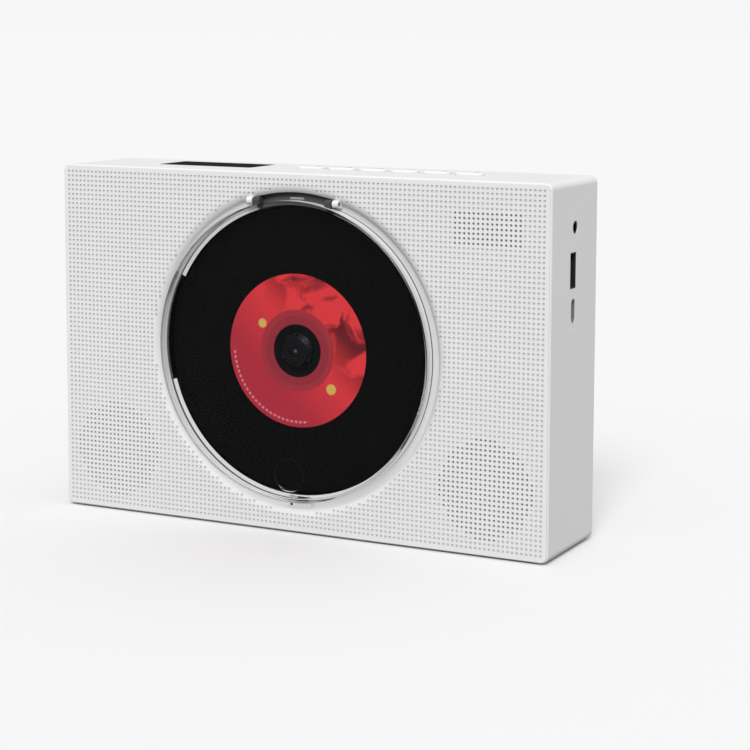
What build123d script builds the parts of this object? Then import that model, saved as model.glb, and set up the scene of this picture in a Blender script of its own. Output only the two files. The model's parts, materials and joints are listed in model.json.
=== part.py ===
from build123d import *
from math import acos, asin, cos, degrees, hypot, pi, radians, sin, sqrt, tan
import os

# Disc player that hangs on a wall or stands on a shelf, with a loaded disc under a hinged clear cover.
# Sizes are in millimetres. +X is to the right, +Y is towards the wall, +Z is up. The origin lies under the
# middle of the player, on the surface that its feet stand on. A "depth" is measured back from the front face.

os.makedirs("parts", exist_ok=True)

# ---------------------------------------------------------------- driving sizes
# Case
body_depth = 50.0
side_field = 46.8
side_wall = 2.4
front_wall = 2.2
corner_radius = 3.0
inner_corner_radius = 1.0
front_edge_radius = 1.2
rear_edge_radius = 1.5
foot_height = 0.6
cover_stand = 3.6
fit_gap = 0.2
running_gap = 0.05

# Disc bay, seen from the front
bay_below = 8.8
bay_above = 6.8
dish_run = 2.2
dish_room = 2.2
dish_edge_radius = 4.5
ledge_depth = 3.0
ledge_wall = 2.2
bay_rim_wall = 1.2
notch_reach = 2.2
notch_middle = 174.0
notch_half_angle = 21.5

# Disc
disc_radius = 60.0
disc_bore_radius = 7.5
disc_thickness = 1.2
disc_depth = 3.6
disc_gap = 0.7

# Clear cover and its hinge
cover_reach = 2.1
cover_wall = 1.2
cover_base_gap = 0.3
cover_edge_radius = 0.9
dimple_drop = 51.3
dimple_radius = 7.0
dimple_depth = 0.6
hinge_well_room = 3.3
hinge_depth = 0.2
hinge_inset = 0.8
hinge_pin_radius = 0.8
ear_radius = 1.7
ear_width = 3.0
ear_middle = 16.8
lug_width = 2.6
lug_gap = 0.5
lug_radius = 1.6
hinge_well_wall = 0.8
hinge_well_floor = 1.0
hinge_well_lip = 2.8
hinge_bar_inset = 2.8
hinge_bar_radius = 0.6
hinge_bar_length = 6.5
catch_x = 1.6
catch_width = 10.8
hook_width = 4.4
hook_thickness = 0.9
hook_length = 3.4
hook_shift = 1.1
hook_gap = 0.4
catch_margin = 1.2
catch_sink = 1.2
pin_hole_shift = 4.7
pin_hole_radius = 0.6
pin_hole_inset = 0.7

# Speaker fields and the sensor field
speaker_side_gap = 2.2
speaker_floor_gap = 2.2
field_inset = 2.4
field_border = 1.0
sensor_edge = 27.0
sensor_drop = 19.0
sensor_columns = 7
sensor_rows = 3
hole_pitch = 4.0
hole_radius = 1.05
hole_sides = 6

# Screw posts and rear cover
boss_inset = 5.6
boss_radius = 3.4
screw_radius = 1.25
screw_head_radius = 2.4
screw_head_height = 1.5
screw_length = 12.0
rear_wall = 2.2
keyhole_spacing = 120.0
keyhole_drop = 32.0
keyhole_entry_radius = 4.25
keyhole_slot_width = 4.4
keyhole_slot_rise = 8.0
keyhole_cup_depth = 5.0
keyhole_cup_wall = 1.4
keyhole_play = 1.0
thread_tip_gap = 1.0

# Feet
foot_radius = 5.0
foot_thickness = 1.5
foot_inset = 16.0
foot_edge = 8.0

# Display and keys in the top
display_key_gap = 18.6
display_depth = 30.0
display_width = 46.0
display_length = 22.0
display_lens_thickness = 1.2
display_seat = 1.8
display_corner = 1.0
lens_gap = 0.1
module_thickness = 4.0
key_count = 6
key_land = 1.4
key_row_edge = 41.2
key_depth = 28.0
key_length = 12.6
key_width = 7.0
key_stand = 1.0
key_gap = 0.3
key_travel = 0.8
key_flange = 0.7
key_flange_thickness = 1.0
key_board_drop = 6.4
board_thickness = 1.6
board_post_radius = 2.5
small_screw_radius = 1.0
small_screw_length = 6.0
key_post_reach = 6.0

# Ports in the right side
jack_drop = 19.0
jack_rise = 2.2
jack_nose_radius = 2.5
jack_bore_radius = 1.8
jack_bore_length = 14.0
jack_size = (15.0, 6.0, 7.0)
jack_nose_sink = 0.3
usb_a_depth = 23.4
usb_a_below = 17.1
usb_a_stand = 0.7
usb_a_opening = (5.4, 13.4)
usb_a_length = 14.0
usb_c_rise = 3.4
usb_c_below = 16.2
usb_c_opening = (3.3, 8.9)
usb_c_length = 8.0
usb_a_tongue = (1.8, 11.6, 10.0)
usb_a_tongue_shift = -0.9
usb_c_tongue = (0.7, 6.7, 5.0)
socket_wall = 0.4
socket_back_wall = 1.0
socket_sink = 0.2
lamp_rise = 3.2
lamp_below = 6.7
lamp_radius = 0.7
lamp_block = (3.0, 3.0)
lamp_pipe_length = 10.0
port_gap = 0.15
main_board_width = 50.6
main_board_height = 53.0
main_board_over = 6.0
main_board_edge = 3.0
high_post_drop = 18.0
high_post_insets = (8.0, 17.1)
low_post_rise = 3.6
low_post_gap = 3.0
low_post_inset = 11.6

# Deck and mechanism, placed from the middle of the bay
deck_flange = 5.4
deck_thickness = 1.8
deck_drop = 2.4
hub_opening_gap = 1.5
deck_screw_count = 4
deck_screw_angle = 45.0
deck_screw_bite = 2.0
small_head_radius = 1.6
small_head_height = 1.2
screw_tip_gap = 0.3
lid_switch_size = (7.0, 3.4, 4.0)
chassis_gap = 2.6
chassis_thickness = 1.6
chassis_corner = 4.0
chassis_margin = 2.5
chassis_motor_margin = 3.4
chassis_step_gap = 8.0
damper_middle_x = 11.0
damper_spacing_x = 78.0
damper_spacing_z = 62.0
damper_edge = 6.0
damper_radius = 4.4
damper_waist = 3.2
damper_lip = 0.8
shoulder_radius = 1.5
shoulder_head_radius = 3.0
shoulder_head_height = 1.4
shoulder_thread = 3.0
rod_radius = 1.5
main_rod_z = 18.0
slide_rod_z = -12.0
saddle_width = 3.5
saddle_wall = 1.2
rod_end_wall = 0.8
sled_end_gap = 1.0
lens_inner_radius = 25.0
lens_outer_radius = 58.0
sled_left = 10.0
sled_right = 12.0
sled_below_rod = 5.0
sled_above_rod = 4.5
sled_thickness = 6.0
sled_lift = 0.7
sled_corner = 1.5
sled_skin = 2.0
sled_pocket_height = 20.0
sled_pocket_depth = 2.0
slide_float = 1.2
lens_clearance = 1.8
lens_unit_size = (7.0, 12.0)
lens_unit_corner = 1.5
lens_window_gap = 2.5
lens_slot_play = 0.7
lens_slot_side_play = 2.0
lens_slot_corner = 1.0
lens_radius = 2.0
lens_rim = 0.6
lens_dome = 0.6

# Spindle
turntable_radius = 14.0
turntable_thickness = 1.6
hub_boss_radius = 5.0
hub_cone_top = 1.7
hub_disc_gap = 0.12
spindle_shaft_radius = 0.75
spindle_motor_radius = 12.0
spindle_motor_length = 8.0
ball_radius = 0.8
ball_sink = 0.55
ball_count = 3
cone_top_radius = 5.6
hub_land = 0.2
hub_boss_gap = 1.0
hub_dish_radius = 3.0
shaft_sink = 0.5
motor_end_wall = 0.6
motor_edge_radius = 1.0

# Sled drive
gear_module = 0.5
rack_module = 0.6
rack_gear_teeth = 14
large_gear_teeth = 40
pinion_teeth = 10
gear_face = 1.8
rack_face = 2.2
rack_reach = 30.0
rack_bar = 1.8
rack_teeth_reach = 40
rack_inset = 3.1
rack_face_overlap = 0.2
gear_x = 32.0
gear_end_gap = 0.4
pinion_shaft_proud = 0.6
stud_washer = 0.6
stud_play = 0.1
gear_backlash = 0.16
pressure_angle = 20.0
tooth_top = 0.85
tooth_shoulder = 0.5
tooth_root = 1.2
sled_motor_radius = 7.4
sled_motor_length = 6.0
sled_motor_offset_x = -10.0
sled_motor_shaft_radius = 0.75
gear_stud_radius = 1.0

# Loudspeakers
driver_radius = 22.4
driver_flange = 1.4
driver_rim_wall = 1.2
gasket_thickness = 0.8
basket_depth = 12.0
basket_foot_radius = 13.0
magnet_radius = 15.0
magnet_thickness = 7.0
cone_radius = 18.5
cone_foot_radius = 5.0
cone_drop = 7.0
cone_thickness = 0.6
cone_edge_radius = 19.2
cone_edge_inset = 0.4
dust_cap_height = 1.6
basket_wall = 1.0
basket_hole_radius = 6.0
basket_window = (14.6, 18.6)
basket_window_half_angle = 26.0
basket_window_count = 4

# Battery
battery_room = 3.3
battery_height = 66.0
battery_thickness = 9.0
battery_speaker_gap = 12.3
pad_thickness = 1.0
battery_corner = 2.0

# Display module, keys and their board
module_margin = 2.0
key_stem_radius = 1.2
key_rest_gap = 0.3
key_stem_gap = 0.1
key_edge_radius = 0.5
switch_size = (4.0, 4.0, 1.5)
key_board_length_over = 3.0
key_board_width = 12.0

# Sensor board and the electronics
sensor_frame_wall = 2.0
sensor_frame_thickness = 3.0
sensor_board_thickness = 1.2
sensor_dome_size = (8.0, 6.0)
sensor_dome_height = 2.0
chip_height = 1.2
control_chip_size = (12.0, 12.0)
control_chip_place = (18.0, 24.0)
amplifier_chip_size = (8.0, 8.0)
amplifier_chip_place = (37.0, 14.0)
capacitor_radius = 3.0
capacitor_height = 7.0
capacitor_places = ((8.0, 8.0), (16.0, 8.0), (26.0, 42.0))
header_size = (9.0, 4.5, 5.0)
header_places = ((10.0, 46.0), (41.0, 44.0), (40.0, 26.0))

# ---------------------------------------------------------------- derived places
# The disc sets the bay, and the bay and the fields beside it set the case
ledge_radius = disc_radius + disc_gap
notch_radius = ledge_radius + notch_reach
cover_radius = ledge_radius + cover_reach
dish_foot_radius = cover_radius + dish_room
dish_radius = dish_foot_radius + dish_run
bay_rim_radius = dish_radius + bay_rim_wall
body_height = bay_below + 2 * dish_radius + bay_above
body_width = 2 * (dish_radius + side_field)
front_y = (cover_stand - body_depth) / 2
back_y = front_y + body_depth
body_bottom = foot_height
body_top = body_bottom + body_height
body_middle = body_bottom + body_height / 2
inner_half_width = body_width / 2 - side_wall
bay_z = body_bottom + bay_below + dish_radius
ledge_back = ledge_depth + ledge_wall
rear_cover_depth = body_depth - rear_wall
rear_cover_gap = side_wall + fit_gap

# Cover, hinge and catch
rim_middle = cover_radius - cover_wall / 2
hinge_well_radius = cover_radius + hinge_well_room
hinge_rise = cover_radius - hinge_inset
hinge_place = (front_y + hinge_depth, bay_z + hinge_rise)
ear_outer = ear_middle + ear_width / 2
hinge_half_angle = degrees(asin((ear_outer + running_gap) / hinge_rise))
hinge_well_outer = hinge_well_radius - fit_gap
hinge_well_half_angle = degrees(asin((ear_outer + lug_gap - fit_gap) / hinge_well_outer))
lug_x = ear_outer + lug_gap + lug_width / 2
catch_angle = 270 + degrees(catch_x / cover_radius)
catch_half_angle = degrees(catch_width / 2 / cover_radius)
hook_x = catch_x + hook_shift
hook_place = (hook_x, bay_z - sqrt(rim_middle**2 - hook_x**2))
pin_hole_x = catch_x - pin_hole_shift
pin_hole_ring = notch_radius + deck_thickness + pin_hole_inset
pin_hole_place = (pin_hole_x, bay_z - sqrt(pin_hole_ring**2 - pin_hole_x**2))

# Speaker fields, sensor field and battery
speaker_x = inner_half_width - speaker_side_gap - driver_radius
speaker_z = body_bottom + side_wall + speaker_floor_gap + driver_radius
field_radius = driver_radius - field_inset
grille_radius = field_radius + field_border
sensor_place = (body_width / 2 - sensor_edge, body_top - sensor_drop)
sensor_window = (sensor_columns * hole_pitch + 2 * field_border, sensor_rows * hole_pitch + 2 * field_border)
boss_x = body_width / 2 - boss_inset
battery_width = boss_x - boss_radius - bay_rim_radius - 2 * battery_room
battery_x = -(bay_rim_radius + battery_room + battery_width / 2)
battery_z = speaker_z + driver_radius + battery_speaker_gap + battery_height / 2

# Deck and mechanism, with x and z counted from the middle of the bay
deck_floor_depth = ledge_back + deck_drop
deck_back = deck_floor_depth + deck_thickness
deck_rim_radius = notch_radius + deck_flange
deck_screw_ring = (notch_radius + deck_thickness + deck_rim_radius) / 2
hub_opening_radius = turntable_radius + hub_opening_gap
chassis_depth = deck_back + chassis_gap
chassis_back = chassis_depth + chassis_thickness
sled_depth = chassis_back + sled_lift
sled_back = sled_depth + sled_thickness
sled_low = slide_rod_z - sled_below_rod
sled_high = main_rod_z + sled_above_rod
rod_depth = (sled_depth + sled_back) / 2
saddle_left = lens_inner_radius - sled_left - sled_end_gap - saddle_width
saddle_right = lens_outer_radius + sled_right + sled_end_gap
lens_slot_end = lens_outer_radius + lens_unit_size[0] / 2 + lens_slot_play
gear_z = sled_low - rack_bar - rack_module * (tooth_root + rack_gear_teeth / 2)
rack_depth = sled_depth + rack_inset
small_gear_depth = rack_depth - rack_face_overlap
large_gear_depth = sled_back + gear_end_gap
gear_back = large_gear_depth + gear_face
gear_spacing = gear_module * (large_gear_teeth + pinion_teeth) / 2
sled_motor_offset_z = -sqrt(gear_spacing**2 - sled_motor_offset_x**2)
sled_motor_place = (gear_x + sled_motor_offset_x, bay_z + gear_z + sled_motor_offset_z)
pinion_direction = 180 + degrees(asin(-sled_motor_offset_z / gear_spacing))
damper_reach_x = damper_spacing_x / 2
chassis_left = damper_middle_x - damper_reach_x - damper_edge
chassis_right = saddle_right + saddle_width + chassis_margin
chassis_low = gear_z + sled_motor_offset_z - sled_motor_radius - chassis_motor_margin
chassis_high = damper_spacing_z / 2 + damper_edge
chassis_step = (damper_middle_x + damper_reach_x + chassis_step_gap, slide_rod_z - chassis_step_gap)

# Keys and display
key_pitch = key_length + 2 * key_gap + key_land
key_y = front_y + key_depth
last_key_x = body_width / 2 - key_row_edge - key_length / 2
key_places = [(last_key_x - (key_count - 1 - count) * key_pitch, key_y) for count in range(key_count)]
first_key_end = key_places[0][0] - key_length / 2
last_key_end = key_places[-1][0] + key_length / 2
key_post_places = [(first_key_end - key_post_reach, key_y), (last_key_end + key_post_reach, key_y)]
display_place = (first_key_end - display_key_gap - display_width / 2, front_y + display_depth)
top_inside = body_top - side_wall
key_board_top = top_inside - key_board_drop

# Main board and the ports on it
main_board_depth = usb_a_depth + usb_a_opening[0] / 2 + socket_wall + usb_a_stand
board_right = inner_half_width - main_board_edge
board_left = board_right - main_board_width
jack_z = body_top - jack_drop
board_high = jack_z + main_board_over
board_low = board_high - main_board_height
jack_place = (front_y + main_board_depth - jack_rise, jack_z)
usb_a_place = (front_y + usb_a_depth, jack_z - usb_a_below)
usb_c_place = (front_y + main_board_depth - usb_c_rise, usb_a_place[1] - usb_c_below)
lamp_place = (front_y + main_board_depth - lamp_rise, usb_c_place[1] - lamp_below)
low_post_x = chassis_right + board_post_radius + low_post_gap
board_places = [(board_left + high_post_insets[0], board_high - high_post_drop)]
board_places += [(board_right - high_post_insets[1], board_high - high_post_drop)]
board_places += [(x, board_low + low_post_rise) for x in (low_post_x, board_right - low_post_inset)]

# Screws, feet and dampers
boss_rise = body_height / 2 - boss_inset
boss_places = [(side * boss_x, body_middle + level * boss_rise) for side in (-1, 1) for level in (-1, 0, 1)]
foot_rows = (front_y + foot_edge, back_y - foot_edge)
foot_places = [(side * (body_width / 2 - foot_inset), row) for side in (-1, 1) for row in foot_rows]
damper_places = [
    (damper_middle_x + side * damper_reach_x, bay_z + level * damper_spacing_z / 2)
    for side in (-1, 1)
    for level in (-1, 1)
]


def at_depth(depth):
    """Sketch plane that faces the front, so that x is +X and y is +Z, at a depth behind the front face."""
    return Plane.XZ.offset(-(front_y + depth))


def at_height(height):
    """Sketch plane that faces up, at a height above the surface that the player stands on."""
    return Plane.XY.offset(height)


def at_side(x):
    """Sketch plane that faces right, so that its x is +Y and its y is +Z."""
    return Plane.YZ.offset(x)


def ring_sector(inner, outer, middle, half_angle):
    """Flat sector of a ring about the origin, middle counted anticlockwise from +X."""
    with BuildSketch() as sector:
        with BuildLine():
            outer_arc = CenterArc((0, 0), outer, middle - half_angle, 2 * half_angle)
            inner_arc = CenterArc((0, 0), inner, middle - half_angle, 2 * half_angle)
            Line(outer_arc @ 0, inner_arc @ 0)
            Line(outer_arc @ 1, inner_arc @ 1)
        make_face()
    return sector.sketch


def turned(points, height):
    """Face from (radius, depth) points, for the plane at_side(x), to turn about front_axis(x, height)."""
    with BuildSketch() as profile:
        with BuildLine():
            Polyline(*[(front_y + depth, height + radius) for radius, depth in points], close=True)
        make_face()
    return profile.sketch


def front_axis(x, height):
    """Axis that runs from the front to the wall at a place on the front."""
    return Axis((x, front_y, height), (0, 1, 0))


def ball_spots(ring):
    """Places of the hub's balls about its middle, as (x, y, z)."""
    turns = [90 + 360 * count / ball_count for count in range(ball_count)]
    return [(ring * cos(radians(turn)), 0, ring * sin(radians(turn))) for turn in turns]


def tooth_half_angle(radius, pitch_radius, thickness):
    """Half of an involute tooth's angle at a radius, in radians."""
    pressure = radians(pressure_angle)
    base = pitch_radius * cos(pressure)
    lean = acos(min(1.0, base / max(radius, base)))
    return thickness / (2 * pitch_radius) + (tan(pressure) - pressure) - (tan(lean) - lean)


def gear_outline(module, teeth, phase=0.0):
    """Outline of a spur gear about the origin, with a tooth at the phase angle, in degrees."""
    pitch_radius = module * teeth / 2
    thickness = pi * module / 2 - gear_backlash / 2
    root = pitch_radius - tooth_root * module
    heart = 0.8 * root
    steps = (-tooth_root, -tooth_shoulder, 0, tooth_top)
    levels = [pitch_radius + step * module for step in steps]
    flank = [(radius, tooth_half_angle(radius, pitch_radius, thickness)) for radius in levels]
    foot_angle = flank[0][1]
    with BuildSketch() as tooth:
        with BuildLine():
            rise = [(heart * cos(foot_angle), -heart * sin(foot_angle))]
            rise += [(radius * cos(angle), -radius * sin(angle)) for radius, angle in flank]
            Polyline(*rise, *[(x, -y) for x, y in reversed(rise)], close=True)
        make_face()
    with BuildSketch() as gear:
        Circle(root)
        with PolarLocations(0, teeth, start_angle=phase):
            add(tooth.sketch)
    return gear.sketch


# ---------------------------------------------------------------- case
with BuildPart() as front_shell:
    with BuildSketch(at_depth(0)):
        with Locations((0, body_middle)):
            RectangleRounded(body_width, body_height, corner_radius)
    extrude(amount=-body_depth)
    fillet(front_shell.faces().sort_by(Axis.Y)[0].edges(), front_edge_radius)
    fillet(front_shell.faces().sort_by(Axis.Y)[-1].edges(), rear_edge_radius)
    with BuildSketch(at_depth(body_depth)):
        with Locations((0, body_middle)):
            RectangleRounded(body_width - 2 * side_wall, body_height - 2 * side_wall, inner_corner_radius)
    extrude(amount=body_depth - front_wall, mode=Mode.SUBTRACT)
    # Dished rim of the disc bay and the ledge round the disc
    with BuildSketch(at_side(0)):
        rim = [(ledge_radius, 0), (bay_rim_radius, 0), (bay_rim_radius, ledge_back)]
        add(turned(rim + [(ledge_radius, ledge_back)], bay_z))
    revolve(axis=front_axis(0, bay_z))
    with BuildSketch(at_side(0)):
        mouth = [(0, -cover_stand), (dish_radius, -cover_stand), (dish_radius, 0)]
        well = [(dish_foot_radius, ledge_depth), (ledge_radius, ledge_depth)]
        well += [(ledge_radius, body_depth), (0, body_depth)]
        add(turned(mouth + well, bay_z))
    revolve(axis=front_axis(0, bay_z), mode=Mode.SUBTRACT)
    front_circles = front_shell.edges().filter_by(GeomType.CIRCLE).group_by(Axis.Y)[0]
    fillet(front_circles.sort_by(SortBy.RADIUS)[-1], dish_edge_radius)
    # Finger notch at the left of the disc and the well of the hinge at its top
    with BuildSketch(at_depth(0)):
        with Locations((0, bay_z)):
            add(ring_sector(disc_radius, notch_radius, notch_middle, notch_half_angle))
            add(ring_sector(disc_radius, hinge_well_radius, 90, hinge_half_angle))
    extrude(amount=-2 * ledge_back, mode=Mode.SUBTRACT)
    # Catch at the bottom: a shallow recess, the hook's slot and the lid switch's hole
    with BuildSketch(at_depth(0)):
        with Locations((0, bay_z)):
            catch_reach = dish_foot_radius + catch_margin
            add(ring_sector(cover_radius - cover_wall, catch_reach, catch_angle, catch_half_angle))
    extrude(amount=-(ledge_depth + catch_sink), mode=Mode.SUBTRACT)
    with BuildSketch(at_depth(0)):
        with Locations(hook_place):
            Rectangle(hook_width + 2 * hook_gap, hook_thickness + 2 * hook_gap)
        with Locations(pin_hole_place):
            Circle(pin_hole_radius)
    extrude(amount=-2 * ledge_back, mode=Mode.SUBTRACT)
    # Lugs that carry the hinge pins
    for side in (-1, 1):
        with BuildSketch(at_side(side * lug_x)):
            with Locations(hinge_place):
                Circle(lug_radius)
            with Locations((hinge_place[0] + (ledge_depth - hinge_depth) / 2, hinge_place[1])):
                Rectangle(ledge_depth - hinge_depth, 2 * lug_radius)
        extrude(amount=lug_width / 2, both=True)
        with BuildSketch(at_side(side * lug_x)):
            with Locations(hinge_place):
                Circle(hinge_pin_radius)
        extrude(amount=lug_width / 2, both=True, mode=Mode.SUBTRACT)
    # Openings of the front
    with BuildSketch(at_depth(0)):
        with Locations((-speaker_x, speaker_z), (speaker_x, speaker_z)):
            Circle(grille_radius)
        with Locations(sensor_place):
            Rectangle(*sensor_window)
    extrude(amount=-front_wall, mode=Mode.SUBTRACT)
    # Rims that centre the loudspeakers behind the front
    with BuildSketch(at_depth(front_wall)):
        with Locations((-speaker_x, speaker_z), (speaker_x, speaker_z)):
            Circle(driver_radius + fit_gap + driver_rim_wall)
            Circle(driver_radius + fit_gap, mode=Mode.SUBTRACT)
    extrude(amount=-(gasket_thickness + driver_flange))
    # Openings of the top
    with BuildSketch(at_height(body_top)):
        with Locations(display_place):
            RectangleRounded(display_width + 2 * lens_gap, display_length + 2 * lens_gap, display_corner)
    extrude(amount=-display_lens_thickness, mode=Mode.SUBTRACT)
    with BuildSketch(at_height(body_top)):
        with Locations(display_place):
            Rectangle(display_width - 2 * display_seat, display_length - 2 * display_seat)
        with Locations(*key_places):
            SlotOverall(key_length + 2 * key_gap, key_width + 2 * key_gap)
    extrude(amount=-side_wall, mode=Mode.SUBTRACT)
    # Openings of the right side
    with BuildSketch(at_side(body_width / 2)):
        with Locations(jack_place):
            Circle(jack_nose_radius + port_gap)
        with Locations(usb_a_place):
            Rectangle(*[size + 2 * (socket_wall + port_gap) for size in usb_a_opening])
        with Locations(usb_c_place):
            slot_width, slot_length = [size + 2 * (socket_wall + port_gap) for size in usb_c_opening]
            SlotOverall(slot_length, slot_width, rotation=90)
        with Locations(lamp_place):
            Circle(lamp_radius)
    extrude(amount=-side_wall, mode=Mode.SUBTRACT)
    # Posts: rear cover, main board, key board
    with BuildSketch(at_depth(front_wall)):
        with Locations(*boss_places):
            Circle(boss_radius)
    extrude(amount=-(rear_cover_depth - front_wall))
    with BuildSketch(at_depth(rear_cover_depth)):
        with Locations(*boss_places):
            Circle(screw_radius)
    extrude(amount=screw_length, mode=Mode.SUBTRACT)
    with BuildSketch(at_depth(front_wall)):
        with Locations(*board_places):
            Circle(board_post_radius)
    extrude(amount=-(main_board_depth - front_wall))
    with BuildSketch(at_depth(main_board_depth)):
        with Locations(*board_places):
            Circle(small_screw_radius)
    extrude(amount=small_screw_length, mode=Mode.SUBTRACT)
    with BuildSketch(at_height(top_inside)):
        with Locations(*key_post_places):
            Circle(board_post_radius)
    extrude(amount=-key_board_drop)
    with BuildSketch(at_height(key_board_top)):
        with Locations(*key_post_places):
            Circle(small_screw_radius)
    extrude(amount=small_screw_length, mode=Mode.SUBTRACT)
    # Deck screw holes and the seats of the feet
    with BuildSketch(at_depth(ledge_back)):
        with Locations((0, bay_z)):
            with PolarLocations(deck_screw_ring, deck_screw_count, start_angle=deck_screw_angle):
                Circle(small_screw_radius)
    extrude(amount=deck_screw_bite, mode=Mode.SUBTRACT)
    with BuildSketch(at_height(body_bottom)):
        with Locations(*foot_places):
            Circle(foot_radius)
    extrude(amount=foot_thickness - foot_height, mode=Mode.SUBTRACT)
front_shell.part.label = "front_shell"
export_step(front_shell.part, "parts/front_shell.step")

with BuildPart() as rear_cover:
    with BuildSketch(at_depth(rear_cover_depth)):
        with Locations((0, body_middle)):
            cover_sizes = [size - 2 * rear_cover_gap for size in (body_width, body_height)]
            RectangleRounded(*cover_sizes, inner_corner_radius)
    extrude(amount=-rear_wall)
    # Cups behind the two hanging keyholes
    keyhole_places = [(side * keyhole_spacing / 2, body_top - keyhole_drop) for side in (-1, 1)]
    cavity_width = 2 * keyhole_entry_radius + keyhole_play
    cavity_height = cavity_width + keyhole_slot_rise
    with BuildSketch(at_depth(rear_cover_depth)):
        with Locations(*[(x, z + keyhole_slot_rise / 2) for x, z in keyhole_places]):
            cup_sizes = [size + 2 * keyhole_cup_wall for size in (cavity_width, cavity_height)]
            RectangleRounded(*cup_sizes, keyhole_cup_wall)
    extrude(amount=keyhole_cup_depth + keyhole_cup_wall)
    with BuildSketch(at_depth(rear_cover_depth)):
        with Locations(*[(x, z + keyhole_slot_rise / 2) for x, z in keyhole_places]):
            Rectangle(cavity_width, cavity_height)
    extrude(amount=keyhole_cup_depth, mode=Mode.SUBTRACT)
    with BuildSketch(at_depth(body_depth)):
        with Locations(*keyhole_places):
            Circle(keyhole_entry_radius)
        with Locations(*[(x, z + keyhole_slot_rise / 2) for x, z in keyhole_places]):
            Rectangle(keyhole_slot_width, keyhole_slot_rise)
        with Locations(*[(x, z + keyhole_slot_rise) for x, z in keyhole_places]):
            Circle(keyhole_slot_width / 2)
    extrude(amount=rear_wall, mode=Mode.SUBTRACT)
    # Screw seats
    with BuildSketch(at_depth(body_depth)):
        with Locations(*boss_places):
            Circle(screw_head_radius + fit_gap)
    extrude(amount=screw_head_height, mode=Mode.SUBTRACT)
    with BuildSketch(at_depth(body_depth)):
        with Locations(*boss_places):
            Circle(screw_radius + fit_gap)
    extrude(amount=rear_wall, mode=Mode.SUBTRACT)
rear_cover.part.label = "rear_cover"
export_step(rear_cover.part, "parts/rear_cover.step")

with BuildPart() as cover_screws:
    with BuildSketch(at_depth(body_depth)):
        with Locations(*boss_places):
            Circle(screw_head_radius)
    extrude(amount=screw_head_height)
    with BuildSketch(at_depth(body_depth - screw_head_height)):
        with Locations(*boss_places):
            Circle(screw_radius)
    extrude(amount=screw_length - thread_tip_gap)
cover_screws.part.label = "cover_screws"
export_step(cover_screws.part, "parts/cover_screws.step")

with BuildPart() as rubber_feet:
    with BuildSketch(at_height(0)):
        with Locations(*foot_places):
            Circle(foot_radius)
    extrude(amount=foot_thickness)
rubber_feet.part.label = "rubber_feet"
export_step(rubber_feet.part, "parts/rubber_feet.step")

# ---------------------------------------------------------------- perforated fields of the front
column_reach = int(field_radius / hole_pitch)
field_holes = [
    (column * hole_pitch, row * hole_pitch)
    for column in range(-column_reach, column_reach + 1)
    for row in range(-column_reach, column_reach + 1)
    if hypot(column, row) * hole_pitch <= field_radius - hole_radius
]

with BuildPart() as speaker_grille_left:
    with BuildSketch(at_depth(0)):
        with Locations((-speaker_x, speaker_z)):
            Circle(grille_radius)
            with Locations(*field_holes):
                RegularPolygon(hole_radius, hole_sides, mode=Mode.SUBTRACT)
    extrude(amount=-front_wall)
speaker_grille_left.part.label = "speaker_grille_left"
export_step(speaker_grille_left.part, "parts/speaker_grille_left.step")

with BuildPart() as speaker_grille_right:
    with BuildSketch(at_depth(0)):
        with Locations((speaker_x, speaker_z)):
            Circle(grille_radius)
            with Locations(*field_holes):
                RegularPolygon(hole_radius, hole_sides, mode=Mode.SUBTRACT)
    extrude(amount=-front_wall)
speaker_grille_right.part.label = "speaker_grille_right"
export_step(speaker_grille_right.part, "parts/speaker_grille_right.step")

with BuildPart() as sensor_grille:
    with BuildSketch(at_depth(0)):
        with Locations(sensor_place):
            Rectangle(*sensor_window)
            with GridLocations(hole_pitch, hole_pitch, sensor_columns, sensor_rows):
                RegularPolygon(hole_radius, hole_sides, mode=Mode.SUBTRACT)
    extrude(amount=-front_wall)
sensor_grille.part.label = "sensor_grille"
export_step(sensor_grille.part, "parts/sensor_grille.step")

# ---------------------------------------------------------------- clear cover and its hinge
cover_front = -cover_stand
cover_inside = cover_front + cover_wall
cover_base = ledge_depth - cover_base_gap
dimple_ball_radius = (dimple_radius**2 + dimple_depth**2) / (2 * dimple_depth)
ear_foot = bay_z + sqrt(rim_middle**2 - ear_middle**2)

with BuildPart() as clear_cover:
    with BuildSketch(at_side(0)):
        shell = [(0, cover_front), (cover_radius, cover_front), (cover_radius, cover_base)]
        shell += [(cover_radius - cover_wall, cover_base), (cover_radius - cover_wall, cover_inside)]
        add(turned(shell + [(0, cover_inside)], bay_z))
    revolve(axis=front_axis(0, bay_z))
    fillet(clear_cover.faces().sort_by(Axis.Y)[0].edges(), cover_edge_radius)
    with Locations((0, front_y + cover_front + dimple_depth - dimple_ball_radius, bay_z - dimple_drop)):
        Sphere(dimple_ball_radius, mode=Mode.SUBTRACT)
    # Ears that turn on the hinge pins
    for side in (-1, 1):
        with BuildSketch(at_side(side * ear_middle)):
            with Locations(hinge_place):
                Circle(ear_radius)
            ear_front = hinge_depth - ear_radius
            with Locations((front_y + (ear_front + cover_base) / 2, (hinge_place[1] + ear_foot) / 2)):
                Rectangle(cover_base - ear_front, hinge_place[1] - ear_foot)
        extrude(amount=ear_width / 2, both=True)
        with BuildSketch(at_side(side * ear_middle)):
            with Locations(hinge_place):
                Circle(hinge_pin_radius + running_gap)
        extrude(amount=ear_width / 2, both=True, mode=Mode.SUBTRACT)
    # Hook that holds the cover shut
    with BuildSketch(at_depth(cover_base)):
        with Locations(hook_place):
            Rectangle(hook_width, hook_thickness)
    extrude(amount=-hook_length)
clear_cover.part.label = "clear_cover"
export_step(clear_cover.part, "parts/clear_cover.step")

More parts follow.
